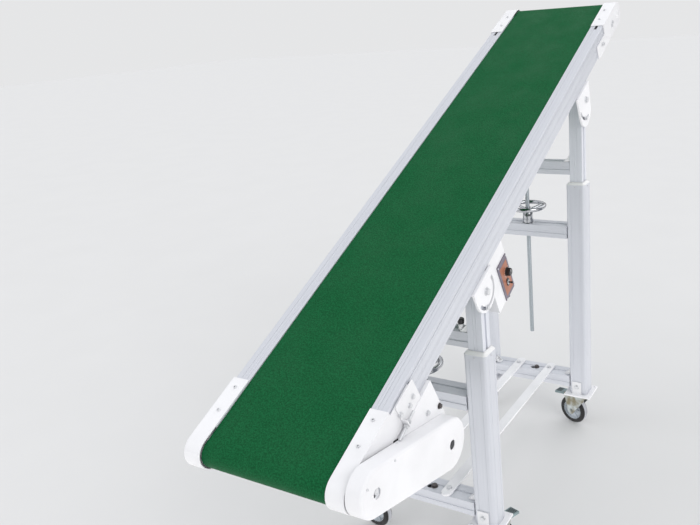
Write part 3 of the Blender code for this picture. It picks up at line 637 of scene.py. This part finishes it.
def make_cover():
    """A pressed lid: flat face, rolled edge, two inspection holes."""
    small, large = (TAIL.y + 0.011, TAIL.z + 0.0035, 0.047), (MOTOR.y, MOTOR.z, 0.057)
    back, front, roll, sheet = 0.1995, COVER_FACE, 0.006, 0.0015
    steps = 5
    layers = [(0.0, back)]
    for k in range(steps + 1):
        a = math.pi / 2 * k / steps
        layers.append((roll * (1 - math.cos(a)), front - roll * (1 - math.sin(a))))
    inner = [(inset + sheet, depth - (sheet if i else 0)) for i, (inset, depth) in enumerate(layers)]
    cover = Shape()
    skins = []
    for layer in (layers, inner):
        rings = []
        for inset, depth in layer:
            circles = [(u, v, radius - inset) for u, v, radius in (small, large)]
            rings.append(cover.ring(SIDE_PLANE, wrap(circles, 40), depth))
        for low, high in zip(rings, rings[1:]):
            cover.skin(low, high)
        skins.append(rings)
    cover.skin(skins[0][0], skins[1][0])
    holes = []
    for rings, depth in ((skins[0], front), (skins[1], front - sheet)):
        loops = [cover.ring(SIDE_PLANE, arc(u, v, 0.0105, 0, 345, 23), depth)
                 for u, v, radius in (small, large)]
        cover.fill([rings[-1], *loops])
        holes.append(loops)
    for low, high in zip(*holes):
        cover.skin(low, high)
    cover.done("chain_cover_lid", [WHITE], "deck", "white_paint", replaces=["chain_cover"])


def make_chain():
    """Roller chain: pairs of waisted plates between pins, outer and inner in turn."""
    pitch_radius = PITCH / (2 * math.sin(math.pi / 13))
    loop = wrap([(TAIL.y, TAIL.z, pitch_radius), (MOTOR.y, MOTOR.z, pitch_radius)], 60)
    lengths = [math.dist(a, b) for a, b in zip(loop, loop[1:] + loop[:1])]
    total = sum(lengths)
    count = 2 * round(total / PITCH / 2)

    def along(distance):
        i = 0
        while distance > lengths[i]:
            distance -= lengths[i]
            i = (i + 1) % len(loop)
        a, b = Vector(loop[i]), Vector(loop[(i + 1) % len(loop)])
        return a + (b - a) * distance / lengths[i]
    pins = [along(total * k / count % total) for k in range(count)]
    chain = Shape()
    middle = 0.214
    for k, (a, b) in enumerate(zip(pins, pins[1:] + pins[:1])):
        way = math.degrees(math.atan2(b.y - a.y, b.x - a.x))
        plate = arc(a.x, a.y, 0.004, way + 90, way + 270, 6) + arc(b.x, b.y, 0.004, way - 90, way + 90, 6)
        offset = 0.003 if k % 2 else 0.0021
        for sign in (-1, 1):
            near, far = sorted((middle + sign * offset, middle + sign * (offset + 0.0008)))
            chain.extrude([plate], near, far, SIDE_PLANE)
        pin = on_side(a.x, a.y, middle)
        chain.lathe([(0, 0.004), (0.0018, 0.004), (0.0018, -0.004), (0, -0.004)], pin, 10)
        chain.lathe([(0.0019, 0.002), (0.0036, 0.002), (0.0036, -0.002), (0.0019, -0.002)], pin, 12,
                    closed=True)
    chain.done("roller_chain", [STEEL], "deck", "steel", replaces=["drive_chain"])


def make_motor():
    """Worm gearbox with a finned motor across the machine and a terminal box."""
    t, h = MOTOR.y, MOTOR.z
    motor = Shape()
    side = 0.04
    motor.block((t - side, h - side, 0.13), (t + side, h + side, 0.1932), SIDE_PLANE)
    for sign in (-1, 1):
        motor.lathe([(0, 0.003), (0.026, 0.003), (0.029, 0.0), (0, 0.0)],
                    on_deck(0.162, t, h + sign * side, (0, 0, sign)), 28)
    fins = []
    count = 28
    for k in range(count):
        for share, r in ((0.0, 0.04), (0.3, 0.04), (0.42, 0.0345), (0.88, 0.0345)):
            fins.append(polar(r, TAU * (k + share) / count, t, h))
    motor.extrude([fins], 0.004, 0.108, SIDE_PLANE)
    axis = on_side(t, h)
    motor.lathe([(0, 0.131), (0.0385, 0.131), (0.0395, 0.124), (0.0385, 0.107), (0, 0.107)], axis, 40)
    motor.lathe([(0, 0.005), (0.0385, 0.005), (0.0418, -0.004), (0.0425, -0.026), (0.036, -0.0335),
                 (0, -0.0335)], axis, 40)
    motor.done("gear_motor_body", [ENAMEL], "deck", "motor", 0.0008, ["gear_motor"])
    box = Shape()
    box.block((0.04, t - 0.06, h - 0.024), (0.092, t - 0.034, h + 0.024), DECK)
    box.done("terminal_box", [ENAMEL], "deck", "motor", 0.002, segments=3)
    small = Shape()
    for x in (0.046, 0.086):
        for z in (-0.018, 0.018):
            small.bolt(on_deck(x, t - 0.06, h + z, (0, -1, 0)), 0.003, washer=False)
    for u in (-0.03, 0.03):
        for v in (-0.03, 0.03):
            small.bolt(on_deck(0.13, t + u, h + v, (-1, 0, 0)), 0.0045, washer=False)
    # Three near-black rings on the gearbox's end face: painted shade, no grooves are cut.
    for k in range(3):
        r = 0.01 + 0.008 * k
        outer, inner = r + 0.0015, r - 0.0015
        small.lathe([(outer, -0.0334), (outer, -0.0339), (inner, -0.0339), (inner, -0.0334)], axis, 32,
                    slot=1, closed=True)
    small.done("motor_screws_and_shade_rings", FIXING, "deck", "steel")
    gland(0.066, t - 0.047, h - 0.024, "motor_cable_gland")


def gland(x, t, h, name):
    """A cable gland under the deck: hexagon, dome and seal."""
    piece = Shape()
    place = on_deck(x, t, h, (0, 0, -1))
    piece.lathe([(0, 0.004), (0.0085, 0.004), (0.0092, 0.0032), (0.0092, 0.0), (0, 0.0)], place, 6)
    piece.lathe([(0, 0.0155), (0.0038, 0.0155), (0.0046, 0.015), (0.007, 0.0125), (0.0078, 0.006),
                 (0.0078, 0.004), (0, 0.004)], place, 24)
    piece.done(name, [KNOB], "deck", "black")

# ---- controls


def make_controls():
    refine("control_box", WHITE, 0.001)
    refine("control_panel", PANEL, 0.0006)
    face = BOX_FACE
    knob_t, knob_h = deck_point("speed_knob_turn").yz
    switch_t, switch_h = deck_point("power_switch_throw").yz
    plate = Shape()
    hole = arc(knob_t, knob_h, 0.0042, 0, 330, 11)
    second = arc(switch_t, switch_h, 0.0034, 0, 330, 11)
    square = [(0.087, -0.105), (0.1275, -0.105), (0.1275, -0.018), (0.087, -0.018)]
    plate.extrude([square, hole, second], face, face + 0.00025, SIDE_PLANE)
    plate.done("dial_plate", [COPPER], "deck", "panel")
    marks = Shape()
    for k in range(11):
        a = math.radians(225 - 27 * k)
        long = 0.016 if k % 5 == 0 else 0.0148
        place = on_side(knob_t, knob_h, face + 0.00025) @ Matrix.Rotation(a, 4, 'Z')
        marks.block((0.0126, -0.0004, 0.0), (long, 0.0004, 0.0002), place)
    marks.done("dial_marks", [MARKS], "deck", "white_paint")

    knob = Shape()
    seat = on_side(knob_t, knob_h)
    knob.lathe([(0, face + 0.0026), (0.0106, face + 0.0026), (0.0112, face + 0.001), (0.0112, face + 0.0004),
                (0, face + 0.0004)], seat, 40)
    grip = []
    for k in range(18):
        for share, r in ((0.0, 0.0098), (0.5, 0.0089)):
            grip.append(polar(r, TAU * (k + share) / 18))
    knob.extrude([grip], face + 0.0024, face + 0.0108, seat)
    knob.lathe([(0, face + 0.012), (0.0076, face + 0.012), (0.0087, face + 0.0113), (0.0089, face + 0.0107),
                (0, face + 0.0107)], seat, 36)
    knob.block((-0.0006, 0.0015, face + 0.0118), (0.0006, 0.008, face + 0.0123), seat, slot=1)
    knob.lathe([(0, face + 0.002), (0.003, face + 0.002), (0.003, face - 0.01), (0, face - 0.01)], seat, 16)
    knob.done("knob", [KNOB, MARKS], "speed_knob", "black", replaces=["speed_knob"])

    lever = Shape()
    low = face + 0.0042
    seat = on_side(switch_t, switch_h, low)
    lever.lathe([(0, 0.01), (0.0017, 0.0098), (0.0026, 0.009), (0.0029, 0.0078), (0.0026, 0.0062),
                 (0.0018, 0.0), (0.003, -0.0012), (0, -0.0014)], seat, 20)
    lever.done("switch_lever", [KNOB], "power_switch", "black", replaces=["power_switch"])
    surround = Shape()
    seat = on_side(switch_t, switch_h, face + 0.0003)
    bush = arc(0, 0, 0.0044, 0, 345, 23)
    oval = [(u, v + 0.0045) for u, v in arc(0, 0, 0.0068, 0, 180, 12)]
    oval += [(u, v - 0.0045) for u, v in arc(0, 0, 0.0068, 180, 360, 12)]
    surround.extrude([oval, bush], 0.0, 0.0012, seat)
    surround.done("switch_surround", [KNOB], "deck", "black", 0.0003)
    collar = Shape()
    collar.lathe([(0.0044, 0.0032), (0.0056, 0.0032), (0.0062, 0.0026), (0.0062, 0.0012), (0.0044, 0.0012)],
                 seat, 6, closed=True)
    for t in (0.0815, 0.1303):
        for h in (-0.008, -0.1105):
            collar.bolt(on_deck(face, t, h, (1, 0, 0)), 0.0026, washer=False)
    collar.done("panel_fixings", FIXING, "deck", "steel")
    gland(0.12, 0.07, BOX_BOTTOM, "box_gland_front")
    gland(0.145, 0.1, BOX_BOTTOM, "box_gland_rear")
    gland(0.18, 0.106, BOX_BOTTOM, "box_gland_side")

# ---- stand and lifts


def make_stand():
    for label in LABELS:
        end, side = label.split("_")
        make_outer_leg(label)
        refine(f"foot_bracket_{label}", WHITE, 0.0008)
        refine(f"inner_leg_{end}_{side}", INNER, 0.0007)
        make_slot_strips(end, side)
        make_liner(label)
        make_foot_bolts(label)
    for end in ("front", "rear"):
        for level in ("lower", "mid", "upper"):
            refine(f"{end}_{level}_beam", ACROSS, 0.0007)
        make_corner_brackets(f"{end}_lower", "stand", 0.14)
        make_corner_brackets(f"{end}_upper", f"{end}_lift", 0.15)
        cap_inner_legs(end)
    for side in SIDES:
        refine(f"tie_bar_{side}", WHITE, 0.001)
    make_beam_knobs()
    make_tie_bolts()


def make_outer_leg(label):
    """Square tube with well rounded corners, under a cap that slopes up to the inner leg."""
    low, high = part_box(f"outer_leg_{label}")
    place = shift(LEGS[label])
    shoulder = high.z - 0.007
    skirt = shoulder - 0.012
    leg = Shape()
    section = [rounded(OUTER_HALF, 0.009, (0.014, -0.014)), rounded(0.026, 0.003)]
    leg.extrude(section, low.z, shoulder - 0.003, place)
    steps = ((0.0303, 0.0092, skirt), (0.0303, 0.0092, shoulder), (0.0232, 0.004, high.z - 0.0003),
             (0.0206, 0.0015, high.z), (0.0206, 0.0015, skirt))
    rings = [leg.ring(place, rounded(half, radius), z) for half, radius, z in steps]
    for step, (lower, upper) in enumerate(zip(rings, rings[1:] + rings[:1])):
        leg.skin(lower, upper, 1 if step in (1, 2) else 0)
    leg.done(f"leg_tube_{label}", [UPRIGHT, COLLAR], "stand", "aluminium", replaces=[f"outer_leg_{label}"])


def make_slot_strips(end, side):
    """Flush strips in the slots on an inner leg's front and back; the slots at the sides stay open."""
    low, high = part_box(f"inner_leg_{end}_{side}")
    place = shift(LEGS[f"{end}_{side}"])
    strips = Shape()
    for sign in (-1, 1):
        near, far = sorted((sign * 0.0162, sign * 0.0197))
        strips.block((-0.0037, near, low.z + 0.001), (0.0037, far, high.z - 0.001), place)
    strips.done(f"slot_strips_{end}_{side}", [INNER], f"{end}_lift", "aluminium", 0.0003)


def make_liner(label):
    """Pale guide strip round the inner leg in the mouth of the sloping cap, with its screws."""
    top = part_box(f"outer_leg_{label}")[1].z
    place = shift((*LEGS[label].xy, top))
    liner = Shape()
    square = [(-1, -1), (1, -1), (1, 1), (-1, 1)]
    rings = [[(u * half, v * half) for u, v in square] for half in (0.0226, 0.0203)]
    liner.extrude(rings, 0.0002, 0.0009, place)
    liner.done(f"leg_liner_{label}", [COLLAR], "stand", "white_paint", 0.0002)
    screws = Shape()
    for k in range(4):
        turn = Matrix.Rotation(math.pi / 2 * k, 4, 'Z')
        seat = turn @ Vector((0.0303, 0.0, -0.013))
        screws.bolt(place @ facing(seat, turn @ Vector((1, 0, 0))), 0.0028, washer=False)
    screws.done(f"cap_screws_{label}", FIXING, "stand", "steel")


def make_foot_bolts(label):
    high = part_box(f"foot_bracket_{label}")[1]
    x, y = LEGS[label].xy
    plate_top, gap, sheet = 0.133, 0.0003, 0.003
    front = y - OUTER_HALF - gap - sheet
    bolts = Shape()
    bolts.bolt(facing((x - 0.004, front, high.z - 0.019), (0, -1, 0)), 0.0072, hexed=True)
    bolts.done(f"foot_bolt_{label}", FIXING, "stand", "steel")
    heads = Shape()
    for u in (-0.0375, 0.0375):
        for v in (-0.0375, 0.0375):
            heads.bolt(facing((x + u, y + v, plate_top), (0, 0, 1)), 0.0042, washer=False)
    heads.done(f"plate_screws_{label}", [WHITE, COLLAR], "stand", "white_paint")


def make_corner_brackets(beam, body, reach):
    """Small cast angle brackets on top of a beam's ends, each with two bolts."""
    low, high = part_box(f"{beam}_beam")
    y, z = (low.y + high.y) / 2 - 0.01, high.z
    size, thick, half = 0.019, 0.003, 0.009
    piece = Shape()
    bolts = Shape()
    for sign in (-1, 1):
        corner = shift((MIDDLE + sign * (reach - 0.0004), y, z + 0.0004))
        corner = corner @ Matrix.Diagonal((-sign, 1, 1, 1))
        piece.block((0, -half, 0), (size, half, thick), corner)
        piece.block((0, -half, 0), (thick, half, size), corner)
        for v in (-half, half - 0.002):
            near, far = thick - 0.0002, size - 0.002
            web = [(near, near), (far, near), (near, far)]
            side = corner @ Matrix(((1, 0, 0, 0), (0, 0, 1, 0), (0, 1, 0, 0), (0, 0, 0, 1)))
            piece.extrude([web], v, v + 0.002, side)
        bolts.bolt(corner @ facing((0.0105, 0, thick), (0, 0, 1)), 0.0036)
        bolts.bolt(corner @ facing((thick, 0, 0.0105), (1, 0, 0)), 0.0036)
    piece.done(f"{beam}_corner_brackets", [WHITE], body, "white_paint", 0.0005)
    bolts.done(f"{beam}_bracket_bolts", FIXING, body, "steel")


def make_beam_knobs():
    """Black clamp knobs on the corner brackets of the front upper beam."""
    low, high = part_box("front_upper_beam")
    knobs = Shape()
    profile = [(0, 0.031), (0.0066, 0.031), (0.0084, 0.0295), (0.0088, 0.025), (0.008, 0.019),
               (0.006, 0.017), (0, 0.017)]
    collar = [(0, 0.017), (0.0068, 0.017), (0.0072, 0.016), (0.0072, 0.0045), (0.0066, 0.0034), (0, 0.0034)]
    for sign in (-1, 1):
        place = shift((MIDDLE + sign * 0.13, (low.y + high.y) / 2 - 0.01, high.z))
        knobs.lathe(profile, place, 24)
        knobs.lathe(collar, place, 24, slot=1)
    knobs.done("front_beam_knobs", [KNOB, WHITE], "front_lift", "black")


def cap_inner_legs(end):
    caps = Shape()
    for side in SIDES:
        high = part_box(f"inner_leg_{end}_{side}")[1]
        (x, y), half = LEGS[f"{end}_{side}"].xy, 0.0195
        caps.block((x - half, y - half, high.z + 0.0002), (x + half, y + half, high.z + 0.0022))
    caps.done(f"{end}_leg_caps", [HUB], f"{end}_lift", "black", 0.0008)


def make_tie_bolts():
    """Bolts through the ends of the tie bars, and the dark stop bolt in the middle of each lower beam."""
    bolts = Shape()
    stops = Shape()
    for side in SIDES:
        low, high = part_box(f"tie_bar_{side}")
        for end in ("front", "rear"):
            y = LEGS[f"{end}_right"].y - 0.005
            bolts.bolt(facing(((low.x + high.x) / 2, y, high.z), (0, 0, 1)), 0.0074, hexed=True)
    for end in ("front", "rear"):
        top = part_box(f"{end}_lower_beam")[1].z
        stops.bolt(facing((MIDDLE + 0.012, LEGS[f"{end}_right"].y - 0.007, top), (0, 0, 1)), 0.009,
                   hexed=True)
    bolts.done("tie_bar_bolts", FIXING, "stand", "steel")
    stops.done("beam_stop_bolts", [BLACKENED, PAINTED_SHADE], "stand", "steel")


def make_screws():
    for end in ("front", "rear"):
        low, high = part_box(f"{end}_lift_screw")
        place = shift((*centre(f"{end}_lift_screw").xy, 0))
        rod = Shape()
        thread(rod, place, 0.007, 0.004, low.z + 0.001, high.z - 0.004)
        rod.lathe([(0, low.z + 0.0012), (0.0052, low.z + 0.0012), (0.0046, low.z), (0, low.z)], place, 20)
        rod.lathe([(0, high.z), (0.0128, high.z), (0.0138, high.z - 0.001), (0.0138, high.z - 0.009),
                   (0.0128, high.z - 0.01), (0, high.z - 0.01)], place, 6)
        rod.done(f"{end}_threaded_rod", [SCREW], f"{end}_lift", "steel", replaces=[f"{end}_lift_screw"])


def make_handwheels():
    """Polished wheel: round rim, waisted hub and three spokes that rise from the hub to the rim."""
    for end in ("front", "rear"):
        low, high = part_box(f"{end}_handwheel")
        x, y = centre(f"{end}_handwheel").xy
        outer, rim = (high.x - low.x) / 2, 0.007
        base = low.z - 0.0013
        middle = high.z - rim
        place = shift((x, y, 0))
        wheel = Shape()
        ring = [polar(rim, math.pi / 2 - TAU * k / 20, outer - rim, middle) for k in range(20)]
        wheel.lathe(ring, place, 64, closed=True)
        hub_top = middle - 0.004
        hub = [(0.0082, hub_top), (0.0125, hub_top), (0.014, hub_top - 0.0015), (0.014, hub_top - 0.01),
               (0.0165, hub_top - 0.014), (0.017, base + 0.016), (0.0163, base + 0.015),
               (0.0163, base + 0.0125), (0.0178, base + 0.0115), (0.0178, base + 0.0022),
               (0.0082, base + 0.0022)]
        wheel.lathe(hub, place, 40, closed=True)
        for k in range(3):
            a = math.radians(120 * k + 40)
            points = []
            for s in range(9):
                share = s / 8
                r = 0.011 + (outer - rim - 0.011) * share
                z = hub_top - 0.006 + (middle - hub_top + 0.006) * (0.5 - 0.5 * math.cos(math.pi * share))
                points.append(Vector((*polar(r, a, x, y), z)))
            wheel.tube(points, 0.0056, 0.0042)
        wheel.done(f"{end}_wheel", [CHROME], f"{end}_handwheel", "chrome", replaces=[f"{end}_handwheel"])
        collar = Shape()
        collar.lathe([(0.01, base + 0.0012), (0.0205, base + 0.0012), (0.021, base + 0.0006),
                      (0.021, base + 0.0003), (0.01, base + 0.0003)], place, 36, closed=True)
        collar.done(f"{end}_thrust_washer", [STEEL], "stand", "steel")

# ---- casters


def make_casters():
    for label in LABELS:
        spin = joints[f"caster_wheel_spin_{label}"]
        axle = Vector(spin["axis"])
        hub_at = Vector(spin["pos_m"])
        make_wheel(label, facing(hub_at, axle))
        refine(f"caster_fork_{label}", FORK, 0.0008)
        trail = Vector((-axle.y, axle.x, 0))
        make_swivel(label, Vector(joints[f"caster_swivel_{label}"]["pos_m"]), hub_at, axle)
        if f"brake_{label}" in joints:
            refine(f"brake_pedal_{label}", PEDAL, 0.0008)
            at = Vector(joints[f"brake_{label}"]["pos_m"])
            ribs = Shape()
            turn = Matrix(((axle.x, trail.x, 0), (axle.y, trail.y, 0), (0, 0, 1)))
            place = shift(at) @ turn.to_4x4()
            for k in range(5):
                t = 0.029 + 0.0046 * k
                z = 0.001 - (t - 0.02) * 0.0035 / 0.032
                ribs.block((-0.0115, t, z - 0.0004), (0.0115, t + 0.0016, z + 0.0009), place)
            ribs.done(f"pedal_grip_{label}", [KNOB], f"brake_{label}", "pedal", 0.0003)


def make_wheel(label, place):
    wheel = Shape()
    half, radius = 0.0125, 0.05
    rim = [(0.034, half - 0.0015)]
    for a in range(0, 91, 15):
        turn = math.radians(a)
        rim.append((radius - 0.0085 * (1 - math.sin(turn)), half - 0.0075 * (1 - math.cos(turn))))
    profile = rim + [(r, -z) for r, z in reversed(rim)]
    wheel.lathe(profile, place, 72, slot=1, closed=True)
    for face in wheel.bm.faces:
        if all((place.inverted() @ vert.co).xy.length > radius - 0.0004 for vert in face.verts):
            face.material_index = 2
    hub = [(0.0056, 0.0158), (0.012, 0.0158), (0.0128, 0.015), (0.0135, 0.007), (0.016, 0.0048),
           (0.03, 0.0048), (0.032, 0.0075), (0.0332, half - 0.0022), (0.0352, half - 0.0012)]
    wheel.lathe(hub + [(r, -z) for r, z in reversed(hub)], place, 56, slot=0, closed=True)
    for k in range(6):
        spoke = place @ Matrix.Rotation(TAU * k / 6, 4, 'Z')
        for sign in (-1, 1):
            near, far = sorted((sign * 0.004, sign * 0.008))
            wheel.block((0.0125, -0.0016, near), (0.0335, 0.0016, far), spoke)
    wheel.done(f"wheel_{label}", [HUB, TYRE, TREAD], f"wheel_{label}", "tyre",
               replaces=[f"caster_wheel_{label}"])


def make_swivel(label, pivot, hub_at, axle):
    """Ball race of a caster and the nuts on its axle."""
    place = shift((pivot.x, pivot.y, 0))
    top = 0.1265                # underside of the top plate
    race = Shape()
    race.lathe([(0.02, top), (0.0325, top), (0.0335, top - 0.0015), (0.032, top - 0.0045),
                (0.029, top - 0.006), (0.031, top - 0.008), (0.03, top - 0.011), (0.02, top - 0.0115)],
               place, 48, closed=True)
    for sign in (-1, 1):
        end = hub_at + axle * sign * 0.0211
        race.nut(facing(end, axle * sign), 0.0075, 0.0045)
    race.done(f"caster_race_{label}", [FORK, PAINTED_SHADE], f"caster_{label}", "zinc")

# ---- studio


def make_studio():
    scene = bpy.context.scene
    scene.view_settings.view_transform = 'Standard'
    floor_mesh = bpy.data.meshes.new("floor")
    wide, sunk = 30.0, -0.0002
    corners = [(-wide, -wide, sunk), (wide, -wide, sunk), (wide, wide, sunk), (-wide, wide, sunk)]
    floor_mesh.from_pydata(corners, [], [(0, 1, 2, 3)])
    floor = bpy.data.objects.new("floor", floor_mesh)
    scene.collection.objects.link(floor)
    look = Look("floor_pale", (0.66, 0.66, 0.66), 0.9)
    look.shader.inputs["Specular IOR Level"].default_value = 0.0
    look.vary(look.noise(3.0, 4.0), (0.655, 0.655, 0.655), (0.665, 0.665, 0.665))
    # seen as a pale grey, while it lights the machine from below as a white sweep does
    seen_by = look.node("LightPath")
    sweep = look.node("Emission", {"Strength": 1.22})
    either = look.node("MixShader")
    look.link(seen_by.outputs["Is Camera Ray"], either.inputs[0])
    look.link(sweep.outputs["Emission"], either.inputs[1])
    look.link(look.shader.outputs["BSDF"], either.inputs[2])
    look.link(either.outputs["Shader"], look.tree.nodes["Material Output"].inputs["Surface"])
    floor_mesh.materials.append(look.mat)

    world = bpy.data.worlds.new("studio")
    scene.world = world
    world.use_nodes = True
    tree = world.node_tree
    new, link = tree.nodes.new, tree.links.new
    seen = tree.nodes["Background"]
    seen.inputs["Color"].default_value = (0.985, 0.99, 1.0, 1.0)
    seen.inputs["Strength"].default_value = 0.8
    cast = new("ShaderNodeBackground")
    cast.inputs["Strength"].default_value = 0.98
    coords = new("ShaderNodeTexCoord")
    split = new("ShaderNodeSeparateXYZ")
    ramp = new("ShaderNodeValToRGB")
    link(coords.outputs["Generated"], split.inputs[0])
    link(split.outputs["Z"], ramp.inputs["Fac"])
    link(ramp.outputs["Color"], cast.inputs["Color"])
    # the studio darkens towards the horizon, so polished metal has something to show
    stops = ((0.0, 0.14), (0.12, 0.16), (0.3, 0.95), (1.0, 1.0))
    while len(ramp.color_ramp.elements) < len(stops):
        ramp.color_ramp.elements.new(0.5)
    for element, (height, value) in zip(ramp.color_ramp.elements, stops):
        element.position = height
        element.color = (value * 0.97, value * 0.98, value, 1.0)
    path = new("ShaderNodeLightPath")
    mix = new("ShaderNodeMixShader")
    link(path.outputs["Is Camera Ray"], mix.inputs[0])
    link(cast.outputs["Background"], mix.inputs[1])
    link(seen.outputs["Background"], mix.inputs[2])
    link(mix.outputs["Shader"], tree.nodes["World Output"].inputs["Surface"])
    # name, direction it comes from, strength, spread in degrees, colour
    suns = (("key", (2.1, -1.2, 1.3), 1.0, 35.0, (1.0, 0.99, 0.98)),
            ("fill", (-2.0, -1.4, 1.4), 0.5, 60.0, (0.95, 0.97, 1.0)),
            ("back", (0.5, 2.0, 1.6), 0.45, 50.0, (1.0, 1.0, 1.0)))
    for name, source, power, spread, colour in suns:
        light = bpy.data.lights.new(name, 'SUN')
        light.angle = math.radians(spread)
        light.energy = power
        light.color = colour
        lamp = bpy.data.objects.new(name, light)
        lamp.rotation_euler = (-Vector(source)).to_track_quat('-Z', 'Y').to_euler()
        scene.collection.objects.link(lamp)


def make_camera():
    """Standing beside the low end, looking down the machine's length with the camera a little rolled."""
    yaw, pitch, roll = 0.51928, 0.3287, -0.07537
    ahead = Vector((-math.sin(yaw) * math.cos(pitch), math.cos(yaw) * math.cos(pitch), -math.sin(pitch)))
    level = ahead.cross(Vector((0, 0, 1))).normalized()
    upright = level.cross(ahead)
    right = math.cos(roll) * level + math.sin(roll) * upright
    up = math.cos(roll) * upright - math.sin(roll) * level
    data = bpy.data.cameras.new("camera")
    data.sensor_width = 36.0
    data.lens = 36.81
    data.shift_x = -1 / 7
    data.clip_end = 100.0
    camera = bpy.data.objects.new("camera", data)
    place = Matrix((right, up, -ahead)).transposed().to_4x4()
    place.translation = PIVOT + Vector((0.891, -1.3718, 0.6005))
    camera.matrix_world = place
    bpy.context.scene.collection.objects.link(camera)
    bpy.context.scene.camera = camera


make_camera()
make_studio()
make_belt()
make_rails()
make_rollers()
make_plates()
make_shaft_caps()
make_take_ups()
make_deck_fasteners()
make_pivots()
make_cover()
make_chain()
make_motor()
make_controls()
make_stand()
make_screws()
make_handwheels()
make_casters()
